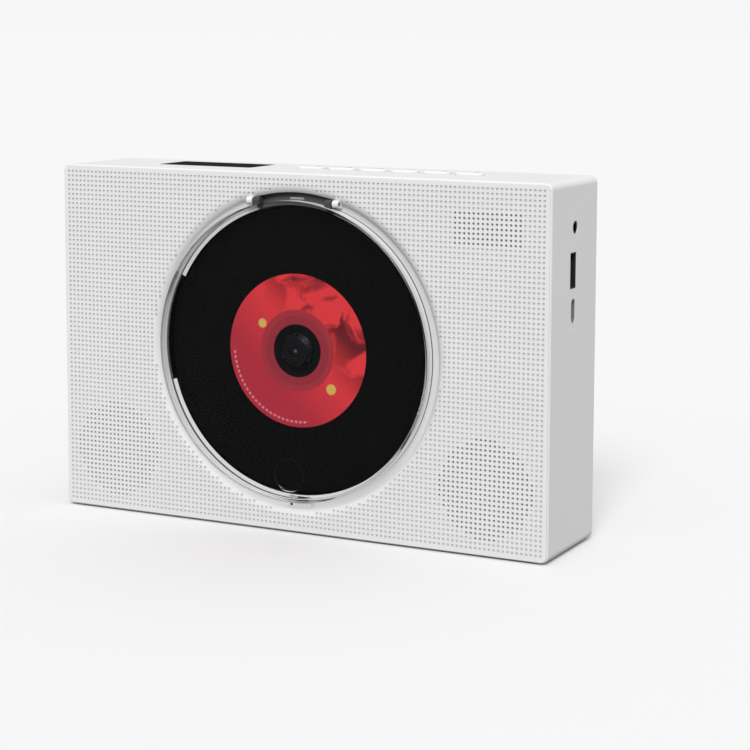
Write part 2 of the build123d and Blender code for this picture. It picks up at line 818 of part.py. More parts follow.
with BuildPart() as hinge_pins:
    pin_length = ear_width + lug_gap + lug_width
    for side in (-1, 1):
        with BuildSketch(at_side(side * (ear_middle - ear_width / 2))):
            with Locations(hinge_place):
                Circle(hinge_pin_radius)
        extrude(amount=side * pin_length)
hinge_pins.part.label = "hinge_pins"
export_step(hinge_pins.part, "parts/hinge_pins.step")

with BuildPart() as hinge_well:
    with BuildSketch(at_depth(ledge_back)):
        with Locations((0, bay_z)):
            add(ring_sector(ledge_radius, hinge_well_outer, 90, hinge_well_half_angle))
    extrude(amount=hinge_well_floor)
    with BuildSketch(at_depth(ledge_back)):
        with Locations((0, bay_z)):
            add(ring_sector(hinge_well_outer - hinge_well_wall, hinge_well_outer, 90, hinge_well_half_angle))
    extrude(amount=ledge_back - hinge_well_lip)
    # Cushion bar for the cover's rim when it stands open
    bar_z = bay_z + hinge_well_radius - hinge_bar_inset
    with BuildSketch(at_side(0)):
        with Locations((front_y + ledge_back - hinge_well_floor, bar_z)):
            Circle(hinge_bar_radius)
    extrude(amount=hinge_bar_length / 2, both=True)
hinge_well.part.label = "hinge_well"
export_step(hinge_well.part, "parts/hinge_well.step")

# ---------------------------------------------------------------- deck
with BuildPart() as disc_deck:
    with BuildSketch(at_side(0)):
        deck = [(0, deck_floor_depth), (notch_radius, deck_floor_depth), (notch_radius, ledge_back)]
        deck += [(deck_rim_radius, ledge_back), (deck_rim_radius, ledge_back + deck_thickness)]
        deck += [(notch_radius + deck_thickness, ledge_back + deck_thickness)]
        deck += [(notch_radius + deck_thickness, deck_back), (0, deck_back)]
        add(turned(deck, bay_z))
    revolve(axis=front_axis(0, bay_z))
    with BuildSketch(at_depth(deck_floor_depth)):
        with Locations((0, bay_z)):
            Circle(hub_opening_radius)
            with Locations((lens_slot_end / 2, 0)):
                slot_width = lens_unit_size[1] + 2 * lens_slot_side_play
                RectangleRounded(lens_slot_end, slot_width, lens_slot_corner)
    extrude(amount=-deck_thickness, mode=Mode.SUBTRACT)
    with BuildSketch(at_depth(deck_back)):
        with Locations(*damper_places):
            Circle(shoulder_head_radius)
    extrude(amount=-(chassis_gap - damper_lip))
    with BuildSketch(at_depth(chassis_depth - damper_lip)):
        with Locations(*damper_places):
            Circle(small_screw_radius)
    extrude(amount=shoulder_thread, mode=Mode.SUBTRACT)
    with BuildSketch(at_depth(ledge_back)):
        with Locations((0, bay_z)):
            with PolarLocations(deck_screw_ring, deck_screw_count, start_angle=deck_screw_angle):
                Circle(small_screw_radius + fit_gap)
        with Locations(pin_hole_place):
            Circle(pin_hole_radius)
    extrude(amount=-deck_thickness, mode=Mode.SUBTRACT)
disc_deck.part.label = "disc_deck"
export_step(disc_deck.part, "parts/disc_deck.step")

with BuildPart() as deck_screws:
    with BuildSketch(at_depth(ledge_back + deck_thickness)):
        with Locations((0, bay_z)):
            with PolarLocations(deck_screw_ring, deck_screw_count, start_angle=deck_screw_angle):
                Circle(small_head_radius)
    extrude(amount=-small_head_height)
    with BuildSketch(at_depth(ledge_back + deck_thickness)):
        with Locations((0, bay_z)):
            with PolarLocations(deck_screw_ring, deck_screw_count, start_angle=deck_screw_angle):
                Circle(small_screw_radius)
    extrude(amount=deck_thickness + deck_screw_bite - screw_tip_gap)
deck_screws.part.label = "deck_screws"
export_step(deck_screws.part, "parts/deck_screws.step")

with BuildPart() as lid_switch:
    with BuildSketch(at_depth(ledge_back + deck_thickness)):
        with Locations((pin_hole_place[0], bay_z - notch_radius - deck_thickness - lid_switch_size[1] / 2)):
            Rectangle(lid_switch_size[0], lid_switch_size[1])
    extrude(amount=-lid_switch_size[2])
    with BuildSketch(at_depth(ledge_back + deck_thickness)):
        with Locations(pin_hole_place):
            Circle(pin_hole_radius - running_gap)
    extrude(amount=ledge_back + deck_thickness - ledge_depth - catch_sink)
lid_switch.part.label = "lid_switch"
export_step(lid_switch.part, "parts/lid_switch.step")

# ---------------------------------------------------------------- disc and spindle
disc_back = disc_depth + disc_thickness
with BuildPart() as disc:
    with BuildSketch(at_depth(disc_depth)):
        with Locations((0, bay_z)):
            Circle(disc_radius)
            Circle(disc_bore_radius, mode=Mode.SUBTRACT)
    extrude(amount=-disc_thickness)
disc.part.label = "disc"
export_step(disc.part, "parts/disc.step")

cone_radius_at_disc = disc_bore_radius - hub_disc_gap
turntable_back = disc_back + turntable_thickness
ball_depth = (disc_depth + hub_cone_top) / 2
ball_ring = cone_radius_at_disc - ball_sink
with BuildPart() as spindle_hub:
    with BuildSketch(at_side(0)):
        hub = [(0, hub_cone_top), (cone_top_radius, hub_cone_top)]
        hub += [(cone_radius_at_disc, disc_depth - hub_land)]
        hub += [(cone_radius_at_disc, disc_back), (turntable_radius, disc_back)]
        hub += [(turntable_radius, turntable_back), (hub_boss_radius, turntable_back)]
        hub += [(hub_boss_radius, chassis_depth - hub_boss_gap), (0, chassis_depth - hub_boss_gap)]
        add(turned(hub, bay_z))
    revolve(axis=front_axis(0, bay_z))
    with BuildSketch(at_depth(hub_cone_top + shaft_sink)):
        with Locations((0, bay_z)):
            Circle(spindle_shaft_radius)
    extrude(amount=-chassis_depth, mode=Mode.SUBTRACT)
    with BuildSketch(at_depth(hub_cone_top)):
        with Locations((0, bay_z)):
            Circle(hub_dish_radius)
    extrude(amount=-shaft_sink, mode=Mode.SUBTRACT)
    with Locations((0, front_y + ball_depth, bay_z)):
        with Locations(*ball_spots(ball_ring)):
            Sphere(ball_radius + running_gap, mode=Mode.SUBTRACT)
spindle_hub.part.label = "spindle_hub"
export_step(spindle_hub.part, "parts/spindle_hub.step")

with BuildPart() as hub_balls:
    with Locations((0, front_y + ball_depth, bay_z)):
        with Locations(*ball_spots(ball_ring)):
            Sphere(ball_radius)
hub_balls.part.label = "hub_balls"
export_step(hub_balls.part, "parts/hub_balls.step")

shaft_end = chassis_back + spindle_motor_length - motor_end_wall
with BuildPart() as spindle_shaft:
    with BuildSketch(at_depth(hub_cone_top + shaft_sink)):
        with Locations((0, bay_z)):
            Circle(spindle_shaft_radius)
    extrude(amount=-(shaft_end - hub_cone_top - shaft_sink))
spindle_shaft.part.label = "spindle_shaft"
export_step(spindle_shaft.part, "parts/spindle_shaft.step")

with BuildPart() as spindle_motor:
    with BuildSketch(at_depth(chassis_back)):
        with Locations((0, bay_z)):
            Circle(spindle_motor_radius)
    extrude(amount=-spindle_motor_length)
    fillet(spindle_motor.faces().sort_by(Axis.Y)[-1].edges(), motor_edge_radius)
    with BuildSketch(at_depth(chassis_back)):
        with Locations((0, bay_z)):
            Circle(spindle_shaft_radius + running_gap)
    extrude(amount=-(spindle_motor_length - motor_end_wall + running_gap), mode=Mode.SUBTRACT)
spindle_motor.part.label = "spindle_motor"
export_step(spindle_motor.part, "parts/spindle_motor.step")

# ---------------------------------------------------------------- mechanism chassis
with BuildPart() as mech_chassis:
    with BuildSketch(at_depth(chassis_depth)):
        with Locations(((chassis_left + chassis_right) / 2, bay_z + (chassis_low + chassis_high) / 2)):
            RectangleRounded(chassis_right - chassis_left, chassis_high - chassis_low, chassis_corner)
        # Corner left free for the right loudspeaker
        step_x, step_z = chassis_step
        with Locations(((step_x + chassis_right) / 2, bay_z + (step_z + chassis_low) / 2)):
            Rectangle(chassis_right - step_x, step_z - chassis_low, mode=Mode.SUBTRACT)
        with Locations((0, bay_z)):
            Circle(hub_boss_radius + hub_boss_gap, mode=Mode.SUBTRACT)
        window = lens_outer_radius - lens_inner_radius + lens_unit_size[0] + 2 * lens_window_gap
        with Locations(((lens_outer_radius + lens_inner_radius) / 2, bay_z)):
            Rectangle(window, lens_unit_size[1] + 2 * lens_window_gap, mode=Mode.SUBTRACT)
        with Locations(*damper_places):
            Circle(damper_waist, mode=Mode.SUBTRACT)
        with Locations((gear_x, bay_z + gear_z)):
            Circle(gear_stud_radius, mode=Mode.SUBTRACT)
    extrude(amount=-chassis_thickness)
    # Saddles that hold the two guide rods
    with BuildSketch(at_depth(chassis_back)):
        for rod_z in (main_rod_z, slide_rod_z):
            for left in (saddle_left, saddle_right):
                with Locations((left + saddle_width / 2, bay_z + rod_z)):
                    Rectangle(saddle_width, 2 * (rod_radius + saddle_wall))
    extrude(amount=-(rod_depth + rod_radius + saddle_wall - chassis_back))
    with BuildSketch(at_side(saddle_left + rod_end_wall)):
        with Locations((front_y + rod_depth, bay_z + main_rod_z), (front_y + rod_depth, bay_z + slide_rod_z)):
            Circle(rod_radius)
    extrude(amount=saddle_right + saddle_width - saddle_left - 2 * rod_end_wall, mode=Mode.SUBTRACT)
mech_chassis.part.label = "mech_chassis"
export_step(mech_chassis.part, "parts/mech_chassis.step")

rod_start = saddle_left + rod_end_wall
rod_length = saddle_right + saddle_width - rod_end_wall - rod_start
with BuildPart() as guide_rods:
    with BuildSketch(at_side(rod_start)):
        with Locations((front_y + rod_depth, bay_z + main_rod_z), (front_y + rod_depth, bay_z + slide_rod_z)):
            Circle(rod_radius)
    extrude(amount=rod_length)
guide_rods.part.label = "guide_rods"
export_step(guide_rods.part, "parts/guide_rods.step")

with BuildPart() as rubber_dampers:
    with BuildSketch(at_depth(chassis_depth - damper_lip)):
        with Locations(*damper_places):
            Circle(damper_radius)
    extrude(amount=-damper_lip)
    with BuildSketch(at_depth(chassis_depth)):
        with Locations(*damper_places):
            Circle(damper_waist)
    extrude(amount=-chassis_thickness)
    with BuildSketch(at_depth(chassis_back)):
        with Locations(*damper_places):
            Circle(damper_radius)
    extrude(amount=-damper_lip)
    with BuildSketch(at_depth(chassis_depth - damper_lip)):
        with Locations(*damper_places):
            Circle(shoulder_radius)
    extrude(amount=-(chassis_thickness + 2 * damper_lip), mode=Mode.SUBTRACT)
rubber_dampers.part.label = "rubber_dampers"
export_step(rubber_dampers.part, "parts/rubber_dampers.step")

with BuildPart() as shoulder_screws:
    with BuildSketch(at_depth(chassis_back + damper_lip)):
        with Locations(*damper_places):
            Circle(shoulder_head_radius)
    extrude(amount=-shoulder_head_height)
    with BuildSketch(at_depth(chassis_back + damper_lip)):
        with Locations(*damper_places):
            Circle(shoulder_radius)
    extrude(amount=chassis_thickness + 2 * damper_lip)
    with BuildSketch(at_depth(chassis_depth - damper_lip)):
        with Locations(*damper_places):
            Circle(small_screw_radius)
    extrude(amount=shoulder_thread - screw_tip_gap)
shoulder_screws.part.label = "shoulder_screws"
export_step(shoulder_screws.part, "parts/shoulder_screws.step")

# ---------------------------------------------------------------- pickup sled
sled_middle = lens_inner_radius + (sled_right - sled_left) / 2
with BuildPart() as pickup_sled:
    with BuildSketch(at_depth(sled_depth)):
        with Locations((sled_middle, bay_z + (sled_high + sled_low) / 2)):
            RectangleRounded(sled_left + sled_right, sled_high - sled_low, sled_corner)
    extrude(amount=-sled_thickness)
    with BuildSketch(at_side(lens_inner_radius - sled_left)):
        with Locations((front_y + rod_depth, bay_z + main_rod_z)):
            Circle(rod_radius + running_gap)
        with Locations((front_y + rod_depth, bay_z + slide_rod_z)):
            SlotCenterToCenter(slide_float, 2 * (rod_radius + running_gap), rotation=90)
    extrude(amount=sled_left + sled_right, mode=Mode.SUBTRACT)
    # Relief in the back of the sled, as its moulding has
    with BuildSketch(at_depth(sled_back)):
        with Locations((sled_middle, bay_z + (main_rod_z + slide_rod_z) / 2)):
            RectangleRounded(sled_left + sled_right - 2 * sled_skin, sled_pocket_height, sled_corner)
    extrude(amount=sled_pocket_depth, mode=Mode.SUBTRACT)
pickup_sled.part.label = "pickup_sled"
export_step(pickup_sled.part, "parts/pickup_sled.step")

lens_top = disc_back + lens_clearance
with BuildPart() as lens_unit:
    with BuildSketch(at_depth(sled_depth)):
        with Locations((lens_inner_radius, bay_z)):
            RectangleRounded(*lens_unit_size, lens_unit_corner)
    extrude(amount=sled_depth - lens_top - lens_dome)
    with BuildSketch(at_depth(lens_top + lens_dome)):
        with Locations((lens_inner_radius, bay_z)):
            Circle(lens_radius + lens_rim)
            Circle(lens_radius, mode=Mode.SUBTRACT)
    extrude(amount=lens_dome / 2)
    with BuildSketch(at_side(lens_inner_radius)):
        dome = [(lens_radius * share, lens_top + lens_dome * share**2) for share in (0, 0.35, 0.7, 1)]
        add(turned(dome + [(0, lens_top + lens_dome)], bay_z))
    revolve(axis=front_axis(lens_inner_radius, bay_z))
lens_unit.part.label = "lens_unit"
export_step(lens_unit.part, "parts/lens_unit.step")

rack_pitch = pi * rack_module
rack_left = lens_inner_radius - rack_reach
rack_right = lens_inner_radius + sled_right
rack_top = bay_z + sled_low
rack_line = bay_z + gear_z + rack_module * rack_gear_teeth / 2
rack_root = rack_line + tooth_root * rack_module
rack_tip = rack_line - tooth_top * rack_module
rack_tooth_half = (pi * rack_module / 2 - gear_backlash / 2) / 2
rack_lean = tan(radians(pressure_angle))
rack_teeth = [
    gear_x + (count + 0.5) * rack_pitch
    for count in range(-rack_teeth_reach, rack_teeth_reach)
    if rack_left + rack_pitch / 2 < gear_x + (count + 0.5) * rack_pitch < rack_right - rack_pitch / 2
]
with BuildSketch() as rack_tooth:
    with BuildLine():
        wide = rack_tooth_half + (rack_root - rack_line) * rack_lean
        narrow = rack_tooth_half - (rack_line - rack_tip) * rack_lean
        corners = [(-wide, rack_root), (wide, rack_root), (narrow, rack_tip), (-narrow, rack_tip)]
        Polyline(*corners, close=True)
    make_face()
with BuildPart() as sled_rack:
    with BuildSketch(at_depth(rack_depth)):
        with Locations(((rack_left + rack_right) / 2, (rack_top + rack_root) / 2)):
            Rectangle(rack_right - rack_left, rack_top - rack_root)
        with Locations(*[(x, 0) for x in rack_teeth]):
            add(rack_tooth.sketch)
    extrude(amount=-rack_face)
sled_rack.part.label = "sled_rack"
export_step(sled_rack.part, "parts/sled_rack.step")

# ---------------------------------------------------------------- sled drive
with BuildPart() as gear_stud:
    with BuildSketch(at_depth(chassis_depth)):
        with Locations((gear_x, bay_z + gear_z)):
            Circle(gear_stud_radius)
    extrude(amount=-(gear_back + stud_washer - chassis_depth + stud_play))
    with BuildSketch(at_depth(gear_back + stud_play)):
        with Locations((gear_x, bay_z + gear_z)):
            Circle(2 * gear_stud_radius)
    extrude(amount=-stud_washer)
gear_stud.part.label = "gear_stud"
export_step(gear_stud.part, "parts/gear_stud.step")

with BuildPart() as sled_gear:
    with BuildSketch(at_depth(small_gear_depth)):
        with Locations((gear_x, bay_z + gear_z)):
            add(gear_outline(rack_module, rack_gear_teeth, 90))
    extrude(amount=-(large_gear_depth - small_gear_depth))
    with BuildSketch(at_depth(large_gear_depth)):
        with Locations((gear_x, bay_z + gear_z)):
            add(gear_outline(gear_module, large_gear_teeth, pinion_direction))
    extrude(amount=-gear_face)
    with BuildSketch(at_depth(small_gear_depth)):
        with Locations((gear_x, bay_z + gear_z)):
            Circle(gear_stud_radius + running_gap)
    extrude(amount=-(gear_back - small_gear_depth), mode=Mode.SUBTRACT)
sled_gear.part.label = "sled_gear"
export_step(sled_gear.part, "parts/sled_gear.step")

with BuildPart() as sled_motor:
    with BuildSketch(at_depth(chassis_back)):
        with Locations(sled_motor_place):
            Circle(sled_motor_radius)
    extrude(amount=-sled_motor_length)
    fillet(sled_motor.faces().sort_by(Axis.Y)[-1].edges(), motor_edge_radius)
    with BuildSketch(at_depth(chassis_back + motor_end_wall)):
        with Locations(sled_motor_place):
            Circle(sled_motor_shaft_radius + running_gap)
    extrude(amount=-sled_motor_length, mode=Mode.SUBTRACT)
sled_motor.part.label = "sled_motor"
export_step(sled_motor.part, "parts/sled_motor.step")

with BuildPart() as sled_motor_shaft:
    with BuildSketch(at_depth(chassis_back + motor_end_wall + running_gap)):
        with Locations(sled_motor_place):
            Circle(sled_motor_shaft_radius)
    extrude(amount=-(gear_back + pinion_shaft_proud - chassis_back - motor_end_wall - running_gap))
sled_motor_shaft.part.label = "sled_motor_shaft"
export_step(sled_motor_shaft.part, "parts/sled_motor_shaft.step")

with BuildPart() as motor_pinion:
    with BuildSketch(at_depth(large_gear_depth)):
        with Locations(sled_motor_place):
            add(gear_outline(gear_module, pinion_teeth, pinion_direction + 180 + 180 / pinion_teeth))
            Circle(sled_motor_shaft_radius, mode=Mode.SUBTRACT)
    extrude(amount=-gear_face)
motor_pinion.part.label = "motor_pinion"
export_step(motor_pinion.part, "parts/motor_pinion.step")

# ---------------------------------------------------------------- loudspeakers
flange_depth = front_wall + gasket_thickness
flange_back = flange_depth + driver_flange
basket_back = flange_depth + basket_depth
basket_floor = basket_back - basket_wall
basket_shape = [(cone_edge_radius, flange_depth), (driver_radius, flange_depth), (driver_radius, flange_back)]
basket_shape += [(cone_edge_radius + basket_wall, flange_back), (basket_foot_radius, basket_back)]
basket_shape += [(basket_hole_radius, basket_back), (basket_hole_radius, basket_floor)]
basket_shape += [(basket_foot_radius - basket_wall, basket_floor), (cone_edge_radius, flange_back)]
cone_front = flange_depth + cone_edge_inset
cone_back = cone_front + cone_drop
cone_shape = [(0, cone_back - dust_cap_height), (cone_foot_radius, cone_back), (cone_radius, cone_front)]
cone_shape += [(cone_edge_radius, cone_front), (cone_edge_radius, cone_front + cone_thickness)]
cone_shape += [(cone_radius, cone_front + cone_thickness), (cone_foot_radius, cone_back + cone_thickness)]
cone_shape += [(0, cone_back + cone_thickness)]

with BuildPart() as speaker_gaskets:
    with BuildSketch(at_depth(front_wall)):
        with Locations((-speaker_x, speaker_z), (speaker_x, speaker_z)):
            Circle(driver_radius)
            Circle(cone_edge_radius, mode=Mode.SUBTRACT)
    extrude(amount=-gasket_thickness)
speaker_gaskets.part.label = "speaker_gaskets"
export_step(speaker_gaskets.part, "parts/speaker_gaskets.step")

with BuildPart() as speaker_frame_left:
    with BuildSketch(at_side(-speaker_x)):
        add(turned(basket_shape, speaker_z))
    revolve(axis=front_axis(-speaker_x, speaker_z))
    with BuildSketch(at_depth(flange_back + basket_wall)):
        with Locations((-speaker_x, speaker_z)):
            for count in range(basket_window_count):
                add(ring_sector(*basket_window, 360 * count / basket_window_count, basket_window_half_angle))
    extrude(amount=-(basket_depth - driver_flange - 2 * basket_wall), mode=Mode.SUBTRACT)
speaker_frame_left.part.label = "speaker_frame_left"
export_step(speaker_frame_left.part, "parts/speaker_frame_left.step")

with BuildPart() as speaker_frame_right:
    with BuildSketch(at_side(speaker_x)):
        add(turned(basket_shape, speaker_z))
    revolve(axis=front_axis(speaker_x, speaker_z))
    with BuildSketch(at_depth(flange_back + basket_wall)):
        with Locations((speaker_x, speaker_z)):
            for count in range(basket_window_count):
                add(ring_sector(*basket_window, 360 * count / basket_window_count, basket_window_half_angle))
    extrude(amount=-(basket_depth - driver_flange - 2 * basket_wall), mode=Mode.SUBTRACT)
speaker_frame_right.part.label = "speaker_frame_right"
export_step(speaker_frame_right.part, "parts/speaker_frame_right.step")

with BuildPart() as speaker_cone_left:
    with BuildSketch(at_side(-speaker_x)):
        add(turned(cone_shape, speaker_z))
    revolve(axis=front_axis(-speaker_x, speaker_z))
speaker_cone_left.part.label = "speaker_cone_left"
export_step(speaker_cone_left.part, "parts/speaker_cone_left.step")

with BuildPart() as speaker_cone_right:
    with BuildSketch(at_side(speaker_x)):
        add(turned(cone_shape, speaker_z))
    revolve(axis=front_axis(speaker_x, speaker_z))
speaker_cone_right.part.label = "speaker_cone_right"
export_step(speaker_cone_right.part, "parts/speaker_cone_right.step")

with BuildPart() as speaker_magnets:
    with BuildSketch(at_depth(basket_back)):
        with Locations((-speaker_x, speaker_z), (speaker_x, speaker_z)):
            Circle(magnet_radius)
    extrude(amount=-magnet_thickness)
    chamfer(speaker_magnets.faces().group_by(Axis.Y)[-1].edges(), motor_edge_radius)
speaker_magnets.part.label = "speaker_magnets"
export_step(speaker_magnets.part, "parts/speaker_magnets.step")

# ---------------------------------------------------------------- battery
battery_place = (battery_x, battery_z)
with BuildPart() as battery_pad:
    with BuildSketch(at_depth(front_wall)):
        with Locations(battery_place):
            Rectangle(battery_width - 2 * battery_corner, battery_height - 2 * battery_corner)
    extrude(amount=-pad_thickness)
battery_pad.part.label = "battery_pad"
export_step(battery_pad.part, "parts/battery_pad.step")

with BuildPart() as battery:
    with BuildSketch(at_depth(front_wall + pad_thickness)):
        with Locations(battery_place):
            RectangleRounded(battery_width, battery_height, battery_corner)
    extrude(amount=-battery_thickness)
battery.part.label = "battery"
export_step(battery.part, "parts/battery.step")

# ---------------------------------------------------------------- display and keys
with BuildPart() as display_lens:
    with BuildSketch(at_height(body_top)):
        with Locations(display_place):
            RectangleRounded(display_width, display_length, display_corner)
    extrude(amount=-display_lens_thickness)
display_lens.part.label = "display_lens"
export_step(display_lens.part, "parts/display_lens.step")

with BuildPart() as display_module:
    with BuildSketch(at_height(top_inside)):
        with Locations(display_place):
            Rectangle(display_width + 2 * module_margin, display_length + 2 * module_margin)
    extrude(amount=-module_thickness)
display_module.part.label = "display_module"
export_step(display_module.part, "parts/display_module.step")

key_flange_top = top_inside - key_rest_gap
switch_top = key_board_top + switch_size[2]


def key_shape(place):
    """One key: its cap, the flange that stops it under the top, and the stem that presses its switch."""
    with BuildPart() as key:
        with BuildSketch(at_height(key_flange_top)):
            with Locations(place):
                SlotOverall(key_length, key_width)
        extrude(amount=body_top + key_stand - key_flange_top)
        fillet(key.faces().sort_by(Axis.Z)[-1].edges(), key_edge_radius)
        with BuildSketch(at_height(key_flange_top)):
            with Locations(place):
                SlotOverall(key_length + 2 * key_flange, key_width + 2 * key_flange)
        extrude(amount=-key_flange_thickness)
        with BuildSketch(at_height(key_flange_top - key_flange_thickness)):
            with Locations(place):
                Circle(key_stem_radius)
        extrude(amount=-(key_flange_top - key_flange_thickness - switch_top - key_travel - key_stem_gap))
    return key.part


with BuildPart() as key_power:
    add(key_shape(key_places[0]))
key_power.part.label = "key_power"
export_step(key_power.part, "parts/key_power.step")

with BuildPart() as key_mode:
    add(key_shape(key_places[1]))
key_mode.part.label = "key_mode"
export_step(key_mode.part, "parts/key_mode.step")

with BuildPart() as key_previous:
    add(key_shape(key_places[2]))
key_previous.part.label = "key_previous"
export_step(key_previous.part, "parts/key_previous.step")

with BuildPart() as key_play:
    add(key_shape(key_places[3]))
key_play.part.label = "key_play"
export_step(key_play.part, "parts/key_play.step")

with BuildPart() as key_next:
    add(key_shape(key_places[4]))
key_next.part.label = "key_next"
export_step(key_next.part, "parts/key_next.step")

with BuildPart() as key_repeat:
    add(key_shape(key_places[5]))
key_repeat.part.label = "key_repeat"
export_step(key_repeat.part, "parts/key_repeat.step")

key_board_length = key_post_places[1][0] - key_post_places[0][0] + 2 * key_board_length_over
key_board_middle = ((key_post_places[0][0] + key_post_places[1][0]) / 2, key_y)
with BuildPart() as key_board:
    with BuildSketch(at_height(key_board_top)):
        with Locations(key_board_middle):
            Rectangle(key_board_length, key_board_width)
        with Locations(*key_post_places):
            Circle(small_screw_radius + fit_gap, mode=Mode.SUBTRACT)
    extrude(amount=-board_thickness)
key_board.part.label = "key_board"
export_step(key_board.part, "parts/key_board.step")

with BuildPart() as key_switches:
    with BuildSketch(at_height(key_board_top)):
        with Locations(*key_places):
            Rectangle(*switch_size[:2])
    extrude(amount=switch_size[2])
key_switches.part.label = "key_switches"
export_step(key_switches.part, "parts/key_switches.step")

with BuildPart() as key_board_screws:
    with BuildSketch(at_height(key_board_top - board_thickness)):
        with Locations(*key_post_places):
            Circle(small_head_radius)
    extrude(amount=-small_head_height)
    with BuildSketch(at_height(key_board_top - board_thickness)):
        with Locations(*key_post_places):
            Circle(small_screw_radius)
    extrude(amount=board_thickness + small_screw_length - screw_tip_gap)
key_board_screws.part.label = "key_board_screws"
export_step(key_board_screws.part, "parts/key_board_screws.step")

# ---------------------------------------------------------------- main board and the ports on it
with BuildPart() as main_board:
    with BuildSketch(at_depth(main_board_depth)):
        with Locations(((board_left + board_right) / 2, (board_low + board_high) / 2)):
            Rectangle(main_board_width, main_board_height)
        with Locations(*board_places):
            Circle(small_screw_radius + fit_gap, mode=Mode.SUBTRACT)
    extrude(amount=-board_thickness)
main_board.part.label = "main_board"
export_step(main_board.part, "parts/main_board.step")

board_back = main_board_depth + board_thickness
with BuildPart() as board_screws:
    with BuildSketch(at_depth(board_back)):
        with Locations(*board_places):
            Circle(small_head_radius)
    extrude(amount=-small_head_height)
    with BuildSketch(at_depth(board_back)):
        with Locations(*board_places):
            Circle(small_screw_radius)
    extrude(amount=board_thickness + small_screw_length - screw_tip_gap)
board_screws.part.label = "board_screws"
export_step(board_screws.part, "parts/board_screws.step")

with BuildPart() as board_parts:
    # Chips, capacitors and the plugs' headers on the back of the board
    with BuildSketch(at_depth(board_back)):
        with Locations((board_left + control_chip_place[0], board_low + control_chip_place[1])):
            Rectangle(*control_chip_size)
        with Locations((board_left + amplifier_chip_place[0], board_low + amplifier_chip_place[1])):
            Rectangle(*amplifier_chip_size)
    extrude(amount=-chip_height)
    with BuildSketch(at_depth(board_back)):
        with Locations(*[(board_left + x, board_low + z) for x, z in capacitor_places]):
            Circle(capacitor_radius)
    extrude(amount=-capacitor_height)
    with BuildSketch(at_depth(board_back)):
        with Locations(*[(board_left + x, board_low + z) for x, z in header_places]):
            Rectangle(*header_size[:2])
    extrude(amount=-header_size[2])
board_parts.part.label = "board_parts"
export_step(board_parts.part, "parts/board_parts.step")

outer_x = body_width / 2
jack_mouth = outer_x - jack_nose_sink
jack_face = inner_half_width - fit_gap
with BuildPart() as headphone_jack:
    with BuildSketch(at_side(jack_face)):
        with Locations((front_y + main_board_depth - jack_size[1] / 2, jack_place[1])):
            Rectangle(*jack_size[1:])
    extrude(amount=-jack_size[0])
    with BuildSketch(at_side(jack_face)):
        with Locations(jack_place):
            Circle(jack_nose_radius)
    extrude(amount=jack_mouth - jack_face)
    with BuildSketch(at_side(jack_mouth)):
        with Locations(jack_place):
            Circle(jack_bore_radius)
    extrude(amount=-jack_bore_length, mode=Mode.SUBTRACT)
headphone_jack.part.label = "headphone_jack"
export_step(headphone_jack.part, "parts/headphone_jack.step")

socket_mouth = outer_x - socket_sink
with BuildPart() as usb_a_socket:
    usb_a_shell = [size + 2 * socket_wall for size in usb_a_opening]
    with BuildSketch(at_side(socket_mouth)):
        with Locations(usb_a_place):
            Rectangle(*usb_a_shell)
    extrude(amount=-usb_a_length)
    with BuildSketch(at_side(socket_mouth - usb_a_length)):
        with Locations((front_y + (usb_a_depth + main_board_depth) / 2, usb_a_place[1])):
            Rectangle(main_board_depth - usb_a_depth, usb_a_shell[1])
    extrude(amount=board_right - socket_mouth + usb_a_length)
    with BuildSketch(at_side(socket_mouth)):
        with Locations(usb_a_place):
            Rectangle(*usb_a_opening)
    extrude(amount=-(usb_a_length - socket_back_wall), mode=Mode.SUBTRACT)
    with BuildSketch(at_side(socket_mouth - usb_a_length + socket_back_wall)):
        with Locations((usb_a_place[0] + usb_a_tongue_shift, usb_a_place[1])):
            Rectangle(*usb_a_tongue[:2])
    extrude(amount=usb_a_tongue[2])
usb_a_socket.part.label = "usb_a_socket"
export_step(usb_a_socket.part, "parts/usb_a_socket.step")

with BuildPart() as usb_c_socket:
    usb_c_shell = [size + 2 * socket_wall for size in usb_c_opening]
    with BuildSketch(at_side(socket_mouth)):
        with Locations(usb_c_place):
            SlotOverall(usb_c_shell[1], usb_c_shell[0], rotation=90)
    extrude(amount=-usb_c_length)
    with BuildSketch(at_side(socket_mouth - usb_c_length)):
        with Locations((usb_c_place[0] + usb_c_rise / 2, usb_c_place[1])):
            Rectangle(usb_c_rise, usb_c_shell[1] - usb_c_shell[0])
    extrude(amount=board_right - socket_mouth + usb_c_length)
    with BuildSketch(at_side(socket_mouth)):
        with Locations(usb_c_place):
            SlotOverall(usb_c_opening[1], usb_c_opening[0], rotation=90)
    extrude(amount=-(usb_c_length - socket_back_wall), mode=Mode.SUBTRACT)
    with BuildSketch(at_side(socket_mouth - usb_c_length + socket_back_wall)):
        with Locations(usb_c_place):
            Rectangle(*usb_c_tongue[:2])
    extrude(amount=usb_c_tongue[2])
usb_c_socket.part.label = "usb_c_socket"
export_step(usb_c_socket.part, "parts/usb_c_socket.step")

with BuildPart() as charge_lamp:
    with BuildSketch(at_side(socket_mouth)):
        with Locations(lamp_place):
            Circle(lamp_radius)
    extrude(amount=-lamp_pipe_length)
    with BuildSketch(at_side(socket_mouth - lamp_pipe_length)):
        block_depth = lamp_rise + lamp_block[1] / 2
        with Locations((front_y + main_board_depth - block_depth / 2, lamp_place[1])):
            Rectangle(block_depth, lamp_block[1])
    extrude(amount=lamp_block[0])
charge_lamp.part.label = "charge_lamp"
export_step(charge_lamp.part, "parts/charge_lamp.step")

